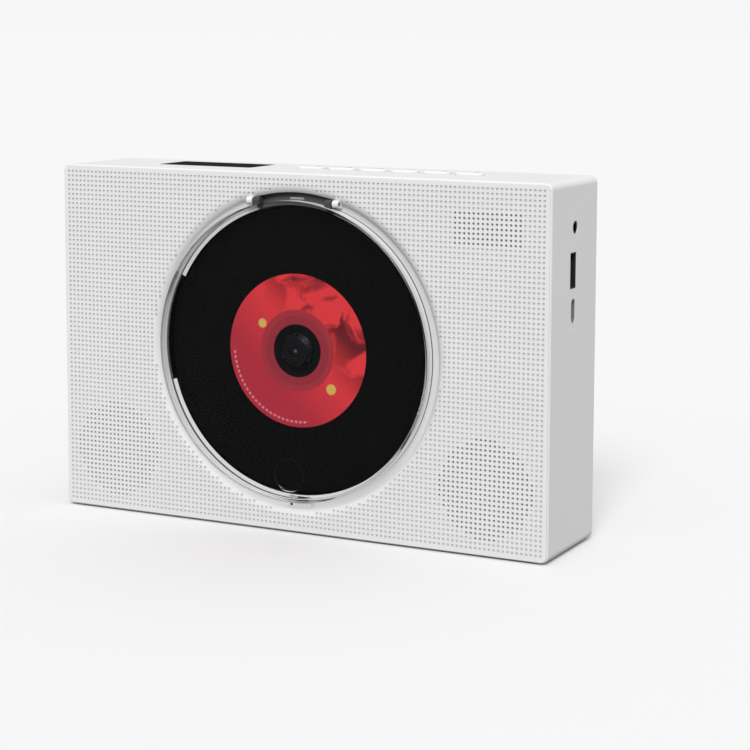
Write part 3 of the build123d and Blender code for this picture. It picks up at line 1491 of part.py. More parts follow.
# ---------------------------------------------------------------- sensor behind the upper right field
sensor_depth = front_wall + sensor_frame_thickness
with BuildPart() as sensor_frame:
    with BuildSketch(at_depth(front_wall)):
        with Locations(sensor_place):
            Rectangle(*[size + 2 * sensor_frame_wall for size in sensor_window])
            Rectangle(*sensor_window, mode=Mode.SUBTRACT)
    extrude(amount=-sensor_frame_thickness)
sensor_frame.part.label = "sensor_frame"
export_step(sensor_frame.part, "parts/sensor_frame.step")

with BuildPart() as sensor_board:
    with BuildSketch(at_depth(sensor_depth)):
        with Locations(sensor_place):
            Rectangle(*[size + 2 * sensor_frame_wall for size in sensor_window])
    extrude(amount=-sensor_board_thickness)
    # Receiver that looks out through the field of holes
    with BuildSketch(at_depth(sensor_depth)):
        with Locations(sensor_place):
            Rectangle(*sensor_dome_size)
    extrude(amount=sensor_dome_height)
    fillet(sensor_board.faces().sort_by(Axis.Y)[0].edges(), key_edge_radius)
sensor_board.part.label = "sensor_board"
export_step(sensor_board.part, "parts/sensor_board.step")
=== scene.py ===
import json
import math

import bpy
from mathutils import Matrix, Vector

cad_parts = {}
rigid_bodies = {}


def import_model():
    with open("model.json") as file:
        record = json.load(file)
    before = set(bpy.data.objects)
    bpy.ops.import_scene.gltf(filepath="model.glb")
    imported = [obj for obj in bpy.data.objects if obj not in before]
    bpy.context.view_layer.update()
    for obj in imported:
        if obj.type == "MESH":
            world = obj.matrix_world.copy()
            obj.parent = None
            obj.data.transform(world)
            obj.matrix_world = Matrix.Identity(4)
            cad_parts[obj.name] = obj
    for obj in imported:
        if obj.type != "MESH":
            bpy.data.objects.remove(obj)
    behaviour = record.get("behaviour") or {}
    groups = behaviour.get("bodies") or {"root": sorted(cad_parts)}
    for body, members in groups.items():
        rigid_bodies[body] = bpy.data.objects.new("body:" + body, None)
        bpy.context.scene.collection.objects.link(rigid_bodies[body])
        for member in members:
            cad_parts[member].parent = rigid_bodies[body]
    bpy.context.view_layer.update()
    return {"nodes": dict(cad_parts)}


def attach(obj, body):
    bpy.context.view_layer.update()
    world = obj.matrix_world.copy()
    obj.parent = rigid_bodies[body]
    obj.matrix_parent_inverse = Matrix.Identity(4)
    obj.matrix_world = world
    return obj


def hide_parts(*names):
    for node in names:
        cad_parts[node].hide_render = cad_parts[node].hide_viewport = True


MM = 0.001

# Sizes are in millimetres, and a depth is counted back from the front face
FRONT = -23.2
BOTTOM = 0.6
HEIGHT = 150.0

# Dished bay of the disc: its middle's height, its sloped and rolled edge, the ledge round the disc, and the
# deeper ring of the finger notch and the hinge well
BAY = 76.6
DISH_RADIUS = 67.2
DISH_RUN = 2.2
DISH_DEPTH = 3.0
DISH_ROLL = 4.5
DISH_SLOPE = math.atan2(DISH_DEPTH, DISH_RUN)
ROLL_REACH = DISH_ROLL * math.tan(DISH_SLOPE / 2)
BAY_MARGIN = 3.0
BAY_SURROUND = DISH_RADIUS + BAY_MARGIN
LEDGE_RADIUS = 60.7
LEDGE_BACK = 5.2
NOTCH_RADIUS = 62.9

# Grid of dots on the front. The case's two lugs at the hinge (inner side, outer side, top) stay free of dots
DOT_PITCH = 2.0
DOT_WIDTH = 1.1
DOT_DEPTH = 0.4
DOT_DRAFT = 0.04
DOT_MARGIN = 0.6
DOT_COLUMNS = 112
DOT_ROWS = 73
DOT_FREE_RADIUS = 67.65
LUG = (18.8, 21.4, 140.2)

# Fields of open holes over the loudspeakers (x, z, radius), left and right alike, and over the sensor
# (x, z, half width, half height). The case's own openings lie in these fields and a margin round them
SPEAKER_FIELD = (87.0, 27.6, 20.5)
SENSOR_FIELD = (87.0, 131.6, 15.0, 7.0)
FIELD_MARGIN = 3.5
HOLE_DEPTH = 1.6
HOLE_DRAFT = 0.01

# Disc: the depths of its faces, and its radii from the rim to the bore
DISC_FRONT = 3.6
DISC_BACK = 4.8
DISC_RADIUS = 60.0
DISC_CHAMFER = 0.15
DISC_PRINT = 59.0
CLAMP_RADIUS = 22.0
DISC_BORE = 7.5
DISC_SIDES = 160

# Radii of the label: its edge, its deeper ring, the step between that ring's shades, and the dark centre
LABEL_RADIUS = 32.15
LABEL_RING = 17.2
RING_STEP = 14.6
CENTRE_RING = 11.1

# Gold spots of the label (x, z, radius), counted from its middle, and its broken pale line: its radius and
# half width, then in radians its middle and its reach to each side, and its dashes in a full turn
GOLD_SPOTS = ((-16.5, 10.5, 1.9), (16.0, -15.0, 2.2))
PALE_LINE = 30.0
PALE_WIDTH = 0.45
PALE_TURN = -2.25
PALE_REACH = 0.85
PALE_BEATS = 90.0

# Clear cover: a cup with a rounded front edge, a fillet inside and a chamfered foot
COVER_FRONT = -3.6
COVER_BASE = 2.7
COVER_RADIUS = 62.8
COVER_WALL = 1.2
COVER_INSIDE = COVER_RADIUS - COVER_WALL
COVER_EDGE = 0.6
COVER_FILLET = 0.5
COVER_CHAMFER = 0.2
COVER_FOOT = 1.6
COVER_SIDES = 224

# Finger dimple of the cover: its place below the bay's middle and the (radius, depth) steps of its tool
DIMPLE_DROP = 51.3
DIMPLE_STEPS = ((5.3, 0.6), (6.0, 0.57), (6.45, 0.46), (6.75, 0.3), (7.0, 0.0), (7.1, -0.5))
DIMPLE_WALL = (DIMPLE_STEPS[1][0], DIMPLE_STEPS[-2][0])
DIMPLE_SIDES = 96

# Hinge ears of the cover with the bore for their pins, and the hook of the catch (x, z, width, thickness,
# length)
HINGE_DEPTH = 0.2
HINGE_HEIGHT = 138.6
EAR_MIDDLE = 16.8
EAR_WIDTH = 3.0
EAR_RADIUS = 1.7
EAR_DROP = 1.8
PIN_RADIUS = 0.85
HOOK = (2.7, 14.459, 4.4, 0.9, 3.4)
HOOK_ROOT = 0.4
HOOK_BEVEL = 0.15

# Painted highlight on the cushion bar in the hinge well, a light streak (middle, half sizes), and the radius
# about the bay past which the well is painted in deep shadow
PAINTED_HIGHLIGHT_PLACE = (0.0, 3.9, 139.9)
PAINTED_HIGHLIGHT_SIZE = (3.6, 0.75)
HINGE_SHADE = 64.9

# Painted shade on the keys: a soft grey spot near the right end of each
KEY_SHADE_START = -2.9
KEY_SHADE_PITCH = 14.6
KEY_SHADE_DEPTH = 28.0
KEY_SHADE_RADIUS = 1.5

# Camera: its place, its turns in degrees and its lens
CAMERA_PLACE = (405.9, -750.0, 210.6)
CAMERA_YAW = 26.86
CAMERA_PITCH = 6.63
CAMERA_ROLL = 0.19
CAMERA_LENS = 97.8
CAMERA_SENSOR = 36.0
CAMERA_SHIFT = -0.15
CAMERA_NEAR = 10.0

# Room: light of the world as the camera sees it and on the player, grey of the floor on the player and as
# the camera sees it, and the sun's spread in degrees, with its way and strength
BACKDROP_LEVEL = 0.93
ROOM_LEVEL = 0.66
FLOOR_COLOUR = 0.37
FLOOR_SEEN = 0.853
FLOOR_SIZE = 60000.0
SUN_ANGLE = 24.0
SUN = (0.18, -0.45, 0.44)

# How far from a surface the middle of a face on it may lie: where the surface is round, and where it is flat
NEAR = 0.15
CLOSE = 0.02

# Limits for a normal's part along an axis: facing along it, nearly straight, straight, and lying across it
FACING = 0.95
STRAIGHT = 0.999
SQUARE = 0.99999
ACROSS = 0.1


# ---------------------------------------------------------------- modelling helpers
def deselect_all():
    if bpy.context.mode != "OBJECT":
        bpy.ops.object.mode_set(mode="OBJECT")
    bpy.ops.object.select_all(action="DESELECT")


def select_only(obj):
    deselect_all()
    obj.select_set(True)
    bpy.context.view_layer.objects.active = obj


def open_edit(obj, mode="FACE"):
    """Edit mode on one piece, with nothing selected."""
    select_only(obj)
    bpy.ops.object.mode_set(mode="EDIT")
    bpy.ops.mesh.select_mode(type=mode)
    bpy.ops.mesh.select_all(action="DESELECT")


def close_edit():
    """Back to object mode, which also writes what is selected to the mesh."""
    bpy.ops.object.mode_set(mode="OBJECT")


def choose_faces(obj, test):
    """In edit mode, select the faces for which test(centre in millimetres, face) holds."""
    close_edit()
    for face in obj.data.polygons:
        face.select = test(face.center / MM, face)
    bpy.ops.object.mode_set(mode="EDIT")


def choose_edges(obj, test):
    """In edit mode, select the edges for which test(one end, other end), in millimetres, holds."""
    close_edit()
    places = [vertex.co / MM for vertex in obj.data.vertices]
    for edge in obj.data.edges:
        edge.select = test(places[edge.vertices[0]], places[edge.vertices[1]])
    bpy.ops.object.mode_set(mode="EDIT")


def at(x, depth, z):
    """A place in metres, with its depth counted back from the front face."""
    return Vector((x, FRONT + depth, z)) * MM


def name_piece(obj, name):
    """Give an object and its mesh one name."""
    obj.name = name
    obj.data.name = name
    return obj


def place_in_mesh(obj):
    """Move an object's place, turn and scale into its mesh."""
    select_only(obj)
    bpy.ops.object.transform_apply(location=True, rotation=True, scale=True)


def turned_piece(name, profile, sides, z=BAY):
    """A piece turned about a level axis at a height: a circle extruded through (radius, depth) steps."""
    deselect_all()
    radius, depth = profile[0]
    bpy.ops.mesh.primitive_circle_add(
        vertices=sides,
        radius=radius * MM,
        fill_type="NGON",
        location=at(0, depth, z),
        rotation=(math.pi / 2, 0, 0),
    )
    piece = name_piece(bpy.context.object, name)
    place_in_mesh(piece)
    open_edit(piece)
    bpy.ops.mesh.select_all(action="SELECT")
    for next_radius, next_depth in profile[1:]:
        forward = (0, (next_depth - depth) * MM, 0)
        bpy.ops.mesh.extrude_region_move(TRANSFORM_OT_translate={"value": forward})
        change = next_radius / radius
        bpy.ops.transform.resize(value=(change, 1, change), center_override=at(0, next_depth, z))
        radius, depth = next_radius, next_depth
    bpy.ops.mesh.select_all(action="SELECT")
    bpy.ops.mesh.normals_make_consistent(inside=False)
    close_edit()
    return piece


def quarter_round(centre, radius, start, end, steps):
    """Profile points of a quarter circle about a (radius, depth) centre, between two angles in degrees."""
    angles = [math.radians(start + (end - start) * step / steps) for step in range(steps + 1)]
    return [(centre[0] + radius * math.cos(a), centre[1] + radius * math.sin(a)) for a in angles]


def round_bar(name, radius, length, centre, sides=48):
    """A round bar along X."""
    deselect_all()
    bpy.ops.mesh.primitive_cylinder_add(
        vertices=sides,
        radius=radius * MM,
        depth=length * MM,
        location=centre,
        rotation=(0, math.pi / 2, 0),
    )
    bar = name_piece(bpy.context.object, name)
    place_in_mesh(bar)
    return bar


def block(name, low, high, bevel=0.0):
    """A block between two corners in metres, whose edges can be softened."""
    deselect_all()
    bpy.ops.mesh.primitive_cube_add(size=1, location=(low + high) / 2)
    piece = name_piece(bpy.context.object, name)
    piece.scale = high - low
    place_in_mesh(piece)
    if bevel:
        open_edit(piece, "EDGE")
        bpy.ops.mesh.select_all(action="SELECT")
        bpy.ops.mesh.bevel(offset=bevel * MM, segments=3)
        close_edit()
    return piece


def cut_or_join(piece, tool, operation):
    """Boolean of a piece with a tool, which is used up."""
    select_only(piece)
    change = piece.modifiers.new("change", "BOOLEAN")
    change.operation = operation
    change.solver = "EXACT"
    change.object = tool
    bpy.ops.object.modifier_apply(modifier="change")
    bpy.data.objects.remove(tool)


def soften(piece, angle=30.0):
    """Smooth shading over rounded faces, with flat faces kept flat."""
    select_only(piece)
    bpy.ops.object.shade_smooth_by_angle(angle=math.radians(angle))
    weight = piece.modifiers.new("weight", "WEIGHTED_NORMAL")
    weight.keep_sharp = True
    bpy.ops.object.modifier_apply(modifier="weight")


def merged_copy(node, name, reach=0.002):
    """A copy of a CAD node with its loose triangles merged."""
    source = frame["nodes"][node]
    piece = source.copy()
    piece.data = source.data.copy()
    bpy.context.scene.collection.objects.link(piece)
    name_piece(piece, name)
    piece.parent = None
    for key in list(piece.keys()):
        del piece[key]
    open_edit(piece)
    bpy.ops.mesh.select_all(action="SELECT")
    bpy.ops.mesh.remove_doubles(threshold=reach * MM)
    close_edit()
    return piece


def dress(obj, *names):
    """Give an object the finishes of these names, in the order of its material slots."""
    slots = obj.data.materials
    for index, name in enumerate(names):
        if index < len(slots):
            slots[index] = finish[name]
        else:
            slots.append(finish[name])


def finish_piece(piece, body, slot, *nodes):
    """Put a piece on its body and hide the CAD nodes that it replaces; the slot is not used."""
    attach(piece, body)
    if nodes:
        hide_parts(*nodes)


# ---------------------------------------------------------------- parts of a material
def grey(level):
    return (level, level, level)


def new_material(name):
    """A material with its nodes, links and shader, and the place on the object that its patterns read."""
    material = bpy.data.materials.new(name)
    material.use_nodes = True
    nodes = material.node_tree.nodes
    place = nodes.new("ShaderNodeTexCoord")
    return material, nodes, material.node_tree.links, nodes["Principled BSDF"], place.outputs["Object"]


def set_gloss(shader, roughness, specular):
    shader.inputs["Roughness"].default_value = roughness
    shader.inputs["Specular IOR Level"].default_value = specular


def add_noise(nodes, links, place, scale, detail=2.0, distortion=0.0):
    """Cloudy noise between 0 and 1."""
    noise = nodes.new("ShaderNodeTexNoise")
    noise.inputs["Scale"].default_value = scale
    noise.inputs["Detail"].default_value = detail
    noise.inputs["Distortion"].default_value = distortion
    links.new(place, noise.inputs["Vector"])
    return noise.outputs["Fac"]


def add_range(nodes, links, value, low, high, to_low, to_high):
    """A value carried from one range to another, and held at its ends."""
    step = nodes.new("ShaderNodeMapRange")
    step.inputs["From Min"].default_value = low
    step.inputs["From Max"].default_value = high
    step.inputs["To Min"].default_value = to_low
    step.inputs["To Max"].default_value = to_high
    links.new(value, step.inputs["Value"])
    return step.outputs["Result"]


def add_mask(nodes, links, distance, reach, blur):
    """A mask that is 1 up to a distance in millimetres and falls to 0 over its blurred edge."""
    return add_range(nodes, links, distance, (reach - blur) * MM, (reach + blur) * MM, 1.0, 0.0)


def add_mix(nodes, links, factor, first, second):
    """Mix of two colours, each a socket or a plain colour."""
    mix = nodes.new("ShaderNodeMix")
    mix.data_type = "RGBA"
    links.new(factor, mix.inputs["Factor"])
    for socket, colour in ((mix.inputs["A"], first), (mix.inputs["B"], second)):
        if isinstance(colour, tuple):
            socket.default_value = (*colour, 1)
        else:
            links.new(colour, socket)
    return mix.outputs["Result"]


def add_math(nodes, links, operation, first, second=0.0):
    """One step of arithmetic on two values, each a socket or a number."""
    step = nodes.new("ShaderNodeMath")
    step.operation = operation
    for socket, value in zip(step.inputs, (first, second)):
        if isinstance(value, (int, float)):
            socket.default_value = value
        else:
            links.new(value, socket)
    return step.outputs["Value"]


def add_product(nodes, links, *factors):
    """Product of several values."""
    product = factors[0]
    for factor in factors[1:]:
        product = add_math(nodes, links, "MULTIPLY", product, factor)
    return product


def add_offset(nodes, links, value, middle):
    """How far a value lies from a middle, to either side."""
    return add_math(nodes, links, "ABSOLUTE", add_math(nodes, links, "SUBTRACT", value, middle))


def add_centred(nodes, links, place, centre):
    """The place counted from a centre, in metres."""
    shift = nodes.new("ShaderNodeMapping")
    shift.inputs["Location"].default_value = tuple(-centre)
    links.new(place, shift.inputs["Vector"])
    return shift.outputs["Vector"]


def add_parts(nodes, links, vector):
    """The x, y and z of a vector."""
    split = nodes.new("ShaderNodeSeparateXYZ")
    links.new(vector, split.inputs["Vector"])
    return split.outputs


def add_length(nodes, links, vector):
    length = nodes.new("ShaderNodeVectorMath")
    length.operation = "LENGTH"
    links.new(vector, length.inputs[0])
    return length.outputs["Value"]


def add_spot(nodes, links, place, centre, radius, blur):
    """A mask that is 1 in a round spot and falls to 0 over its blurred edge."""
    distance = add_length(nodes, links, add_centred(nodes, links, place, centre))
    return add_mask(nodes, links, distance, radius, blur)


def add_relief(nodes, links, shader, height, strength, distance):
    """A fine relief in the gloss, with its depth in millimetres."""
    relief = nodes.new("ShaderNodeBump")
    relief.inputs["Strength"].default_value = strength
    relief.inputs["Distance"].default_value = distance * MM
    links.new(height, relief.inputs["Height"])
    links.new(relief.outputs["Normal"], shader.inputs["Normal"])


# ---------------------------------------------------------------- materials
def moulded_plastic(name, colour, roughness, specular=0.4, speck=0.02, grain=9000.0, bump=0.05):
    """Moulded plastic with a fine grain and a very slight unevenness of colour."""
    material, nodes, links, shader, place = new_material(name)
    set_gloss(shader, roughness, specular)
    cloud = add_noise(nodes, links, place, scale=45.0, detail=3.0)
    darker = tuple(c * (1 - speck) for c in colour)
    lighter = tuple(min(1.0, c * (1 + speck)) for c in colour)
    links.new(add_mix(nodes, links, cloud, darker, lighter), shader.inputs["Base Color"])
    if bump:
        add_relief(nodes, links, shader, add_noise(nodes, links, place, grain), bump, distance=0.02)
    return material


def clear_plastic(name, index, tint, through, shadow):
    """Polished clear plastic with faint moulding waves, which lets lamps and the room's light through."""
    material, nodes, links, shader, place = new_material(name)
    shader.inputs["Base Color"].default_value = (*grey(tint), 1)
    shader.inputs["Roughness"].default_value = 0.0
    shader.inputs["IOR"].default_value = index
    shader.inputs["Transmission Weight"].default_value = through
    waves = add_noise(nodes, links, place, scale=30.0)
    add_relief(nodes, links, shader, waves, strength=0.01, distance=0.05)
    path = nodes.new("ShaderNodeLightPath").outputs
    passing = add_math(nodes, links, "MAXIMUM", path["Is Shadow Ray"], path["Is Diffuse Ray"])
    clear = nodes.new("ShaderNodeBsdfTransparent")
    clear.inputs["Color"].default_value = (*grey(shadow), 1)
    blend = nodes.new("ShaderNodeMixShader")
    links.new(passing, blend.inputs["Fac"])
    links.new(shader.outputs["BSDF"], blend.inputs[1])
    links.new(clear.outputs["BSDF"], blend.inputs[2])
    links.new(blend.outputs["Shader"], nodes["Material Output"].inputs["Surface"])
    return material


def metal(name, colour, roughness, streaks=600.0, spread=0.3):
    """Plated or ground metal with short streaks in its gloss."""
    material, nodes, links, shader, place = new_material(name)
    shader.inputs["Base Color"].default_value = (*colour, 1)
    shader.inputs["Metallic"].default_value = 1.0
    stretch = nodes.new("ShaderNodeMapping")
    stretch.inputs["Scale"].default_value = (1.0, 12.0, 1.0)
    links.new(place, stretch.inputs["Vector"])
    streak = add_noise(nodes, links, stretch.outputs["Vector"], streaks)
    gloss = add_range(nodes, links, streak, 0.3, 0.7, roughness * (1 - spread), roughness * (1 + spread))
    links.new(gloss, shader.inputs["Roughness"])
    return material


def circuit_laminate(name, colour):
    """Solder-masked board with fine tracks showing through."""
    material, nodes, links, shader, place = new_material(name)
    shader.inputs["Roughness"].default_value = 0.35
    tracks = nodes.new("ShaderNodeTexBrick")
    tracks.inputs["Scale"].default_value = 180.0
    tracks.inputs["Color1"].default_value = (*colour, 1)
    tracks.inputs["Color2"].default_value = (*[c * 0.8 for c in colour], 1)
    tracks.inputs["Mortar"].default_value = (*[c * 1.7 + 0.02 for c in colour], 1)
    tracks.inputs["Mortar Size"].default_value = 0.06
    links.new(place, tracks.inputs["Vector"])
    links.new(tracks.outputs["Color"], shader.inputs["Base Color"])
    return material


def hinge_plastic(name, blur=0.1):
    """Black plastic of the hinge's well, painted in deep shadow past a radius about the bay, with a painted
    highlight streak on its cushion bar.
    """
    material, nodes, links, shader, place = new_material(name)
    set_gloss(shader, 0.35, 0.3)
    parts = add_parts(nodes, links, add_centred(nodes, links, place, at(*PAINTED_HIGHLIGHT_PLACE)))
    masks = []
    for axis, reach in zip("XZ", PAINTED_HIGHLIGHT_SIZE):
        away = add_math(nodes, links, "ABSOLUTE", parts[axis])
        masks.append(add_mask(nodes, links, away, reach, blur))
    raised = add_range(nodes, links, parts["Y"], 0.0, blur * MM, 1.0, 0.0)
    # The streak is a painted highlight on the bar
    streak = add_product(nodes, links, *masks, raised)
    cloud = add_noise(nodes, links, place, scale=300.0)
    middle = add_mix(nodes, links, cloud, (0.075, 0.075, 0.077), (0.12, 0.12, 0.122))
    # Past this radius the well is painted nearly black: painted shadow at its outer edge
    inner = add_spot(nodes, links, place, at(0, HINGE_DEPTH, BAY), HINGE_SHADE, 0.5)
    ground = add_mix(nodes, links, inner, grey(0.012), middle)
    links.new(add_mix(nodes, links, streak, ground, grey(0.40)), shader.inputs["Base Color"])
    return material


def key_plastic(name):
    """White plastic of the keys, with a soft grey spot of painted shade near the right end of each."""
    material, nodes, links, shader, place = new_material(name)
    set_gloss(shader, 0.35, 0.4)
    first = at(KEY_SHADE_START - KEY_SHADE_PITCH / 2, KEY_SHADE_DEPTH, 0)
    parts = add_parts(nodes, links, add_centred(nodes, links, place, first))
    wrapped = add_math(nodes, links, "FLOORED_MODULO", parts["X"], KEY_SHADE_PITCH * MM)
    across = add_math(nodes, links, "SUBTRACT", wrapped, KEY_SHADE_PITCH / 2 * MM)
    squares = [add_math(nodes, links, "MULTIPLY", part, part) for part in (across, parts["Y"])]
    away = add_math(nodes, links, "SQRT", add_math(nodes, links, "ADD", *squares))
    # Each spot is painted shade
    shade_spot = add_mask(nodes, links, away, KEY_SHADE_RADIUS, 0.3)
    cloud = add_noise(nodes, links, place, scale=60.0)
    ground = add_mix(nodes, links, cloud, (0.81, 0.81, 0.805), (0.83, 0.83, 0.825))
    links.new(add_mix(nodes, links, shade_spot, ground, grey(0.45)), shader.inputs["Base Color"])
    grain = add_noise(nodes, links, place, scale=2000.0)
    add_relief(nodes, links, shader, grain, strength=0.02, distance=0.05)
    return material


def label_print(name):
    """Printed label: red with a magenta left side, maroon clouds, two gold spots and a broken pale line."""
    material, nodes, links, shader, place = new_material(name)
    set_gloss(shader, 0.4, 0.15)
    centre = at(0, DISC_FRONT, BAY)
    centred = add_centred(nodes, links, place, centre)
    parts = add_parts(nodes, links, centred)
    reach = LABEL_RADIUS * MM
    rising = add_math(nodes, links, "ADD", parts["X"], parts["Z"])
    across = add_range(nodes, links, rising, -0.75 * reach, 0.35 * reach, 0.0, 1.0)
    ground = add_mix(nodes, links, across, (0.42, 0.027, 0.046), (0.72, 0.042, 0.050))
    # Soft maroon clouds, thickest at the upper right
    cloud = add_noise(nodes, links, centred, scale=75.0, detail=3.0, distortion=0.8)
    upper = add_range(nodes, links, rising, 0.15 * reach, 0.9 * reach, 0.0, 1.0)
    thick = add_range(nodes, links, cloud, 0.47, 0.58, 0.0, 0.9)
    ground = add_mix(nodes, links, add_product(nodes, links, upper, thick), ground, (0.075, 0.008, 0.012))
    for x, z, radius in GOLD_SPOTS:
        spot = add_spot(nodes, links, place, centre + Vector((x, 0, z)) * MM, radius, 0.25)
        ground = add_mix(nodes, links, spot, ground, (0.62, 0.42, 0.10))
    # A broken pale line round the lower left
    off_line = add_offset(nodes, links, add_length(nodes, links, centred), PALE_LINE * MM)
    line = add_mask(nodes, links, off_line, PALE_WIDTH, 0.1)
    turn = add_math(nodes, links, "ARCTAN2", parts["Z"], parts["X"])
    off_turn = add_offset(nodes, links, turn, PALE_TURN)
    stretch = add_range(nodes, links, off_turn, PALE_REACH - 0.02, PALE_REACH + 0.02, 1.0, 0.0)
    beat = add_math(nodes, links, "SINE", add_math(nodes, links, "MULTIPLY", turn, PALE_BEATS))
    broken = add_range(nodes, links, beat, -0.5, 0.1, 0.0, 0.6)
    pale = add_product(nodes, links, line, stretch, broken)
    ground = add_mix(nodes, links, pale, ground, (0.75, 0.35, 0.38))
    links.new(ground, shader.inputs["Base Color"])
    return material


def label_ring_print(name):
    """Deeper red ring inside the label, in two shades."""
    material, nodes, links, shader, place = new_material(name)
    set_gloss(shader, 0.3, 0.15)
    step = add_spot(nodes, links, place, at(0, DISC_FRONT, BAY), RING_STEP, 0.1)
    cloud = add_noise(nodes, links, place, scale=60.0)
    outer = add_mix(nodes, links, cloud, (0.32, 0.030, 0.048), (0.38, 0.034, 0.046))
    inner = add_mix(nodes, links, cloud, (0.26, 0.026, 0.044), (0.31, 0.030, 0.042))
    links.new(add_mix(nodes, links, step, outer, inner), shader.inputs["Base Color"])
    return material


def make_materials():
    """All finishes of the player, by their short names."""
    return {
        "white": moulded_plastic("white_case_plastic", (0.80, 0.80, 0.795), 0.5, 0.3),
        # The dimples are painted a darker grey: painted shade in the hollows of the dots
        "dimple": moulded_plastic("white_plastic_with_painted_shade_in_dimples", grey(0.61), 0.6, 0.2),
        "hole_shadow": moulded_plastic("shadow_in_holes", grey(0.72), 0.8, 0.1),
        "key": key_plastic("white_key_plastic_with_painted_shade"),
        "black_gloss": moulded_plastic("black_bay_plastic", (0.006, 0.006, 0.007), 0.3, 0.25, bump=0.02),
        "black": moulded_plastic("black_plastic", (0.02, 0.02, 0.021), 0.5, 0.3),
        "disc_black": moulded_plastic("black_disc_print", (0.0025, 0.0025, 0.0028), 0.5, 0.04, bump=0.01),
        "disc_centre": moulded_plastic("dark_disc_centre", (0.004, 0.005, 0.006), 0.35, 0.05, bump=0.01),
        "hub": moulded_plastic("black_hub_plastic", (0.004, 0.005, 0.006), 0.35, 0.12, bump=0.01),
        "label": label_print("red_label_print"),
        "label_ring": label_ring_print("deep_red_label_ring"),
        "clear": clear_plastic("clear_cover_plate", index=1.1, tint=0.99, through=1.0, shadow=0.96),
        # The front ring and rounded edge of the cover are tinted grey: painted shade in the clear edge
        "cover_edge_painted_shade": clear_plastic("clear_cover_edge_painted_shade", index=1.1, tint=0.5, through=1.0, shadow=0.8),
        # The outer wall of the cover is made milky: a painted sheen standing in for the light band of its
        # reflections
        "cover_rim_painted_sheen": clear_plastic("milky_cover_rim_painted_sheen", index=1.1, tint=0.9, through=0.3, shadow=0.7),
        # The foot of the cover is tinted nearly black: painted shadow of the thin gap under its base
        "cover_foot_painted_shadow": clear_plastic("dark_cover_foot_painted_shadow", index=1.1, tint=0.06, through=0.4, shadow=0.6),
        "clear_dimple": clear_plastic("clear_cover_dimple", index=1.25, tint=0.99, through=1.0, shadow=0.96),
        "ear": moulded_plastic("dark_hinge_ears", (0.06, 0.06, 0.061), 0.3, 0.2, bump=0.0),
        "hinge": hinge_plastic("black_hinge_plastic_with_painted_light"),
        "window": moulded_plastic("tinted_display_window", (0.022, 0.022, 0.0225), 0.25, 0.0, bump=0.0),
        "rubber": moulded_plastic("dark_rubber", grey(0.02), 0.8, 0.2, bump=0.3),
        "foam": moulded_plastic("black_foam", grey(0.025), 0.95, 0.1, speck=0.2, grain=3000.0, bump=0.6),
        "steel": metal("plated_steel", (0.55, 0.55, 0.56), 0.3),
        "bright": metal("ground_steel", (0.8, 0.8, 0.81), 0.15),
        "dark_steel": metal("dark_plated_steel", (0.16, 0.16, 0.165), 0.4),
        "casting": metal("cast_sled_metal", grey(0.5), 0.5, streaks=900.0),
        "port": moulded_plastic("satin_port_metal", grey(0.24), 0.4, 0.4),
        "acetal": moulded_plastic("natural_gear_plastic", (0.7, 0.69, 0.64), 0.4),
        "paper": moulded_plastic(
            "black_cone_paper", grey(0.02), 0.9, 0.1, speck=0.2, grain=2500.0, bump=0.7
        ),
        "cell": moulded_plastic("battery_wrap", (0.03, 0.08, 0.17), 0.3),
        "board": circuit_laminate("green_circuit_board", (0.012, 0.12, 0.05)),
    }


# ---------------------------------------------------------------- front of the case
def bay_distance(place):
    """Distance of a place, in millimetres, from the middle of the disc bay."""
    return math.hypot(place.x, place.z - BAY)


def in_hole_field(place, grow=0.0):
    """Whether a place lies in one of the open fields over the loudspeakers and the sensor."""
    x, z, half_width, half_height = SENSOR_FIELD
    if abs(place.x - x) <= half_width + grow and abs(place.z - z) <= half_height + grow:
        return True
    x, z, radius = SPEAKER_FIELD
    return min(math.hypot(place.x - side * x, place.z - z) for side in (-1, 1)) <= radius + grow


def dish_depth(radius):
    """Depth of the front at a radius about the bay: flat, then a rolled edge, then the straight slope."""
    inward = DISH_RADIUS + ROLL_REACH - radius
    if inward <= 0:
        return 0.0
    if inward <= DISH_ROLL * math.sin(DISH_SLOPE):
        return DISH_ROLL - math.sqrt(DISH_ROLL**2 - inward**2)
    return (DISH_RADIUS - radius) * math.tan(DISH_SLOPE)


def on_front(place, face):
    """Whether a face of the case lies in its flat front or in the rolled edge of the dish."""
    radius, depth = bay_distance(place), place.y - FRONT
    if face.normal.y < -STRAIGHT:
        return abs(depth) < CLOSE
    roll_end = DISH_RADIUS - ROLL_REACH * math.cos(DISH_SLOPE)
    rolled = face.normal.y < -FACING * math.cos(DISH_SLOPE) and radius > roll_end + CLOSE
    return rolled and 0 < depth < DISH_DEPTH and abs(depth - dish_depth(radius)) < NEAR


def in_bay_wall(place, face):
    """Whether a face of the case lies in the round wall of the ledge, the finger notch or the hinge well."""
    if abs(face.normal.y) >= ACROSS or not DISH_DEPTH < place.y - FRONT < LEDGE_BACK:
        return False
    return min(abs(bay_distance(place) - wall) for wall in (LEDGE_RADIUS, NOTCH_RADIUS)) < NEAR


def in_flat_wall(place, face):
    """Whether a face lies in a flat wall of the case, facing sideways, up or down, away from the bay."""
    square = max(abs(face.normal.x), abs(face.normal.z)) > SQUARE
    return square and bay_distance(place) > BAY_SURROUND


def reaches_bay(place, face):
    """Whether a cell of the dot grid reaches into the bay or over one of the hinge lugs."""
    low, high, top = LUG
    reach = DOT_PITCH / 2
    by_lug = low - reach < abs(place.x) < high + reach and BAY < place.z < top + reach
    return by_lug or bay_distance(place) < DOT_FREE_RADIUS


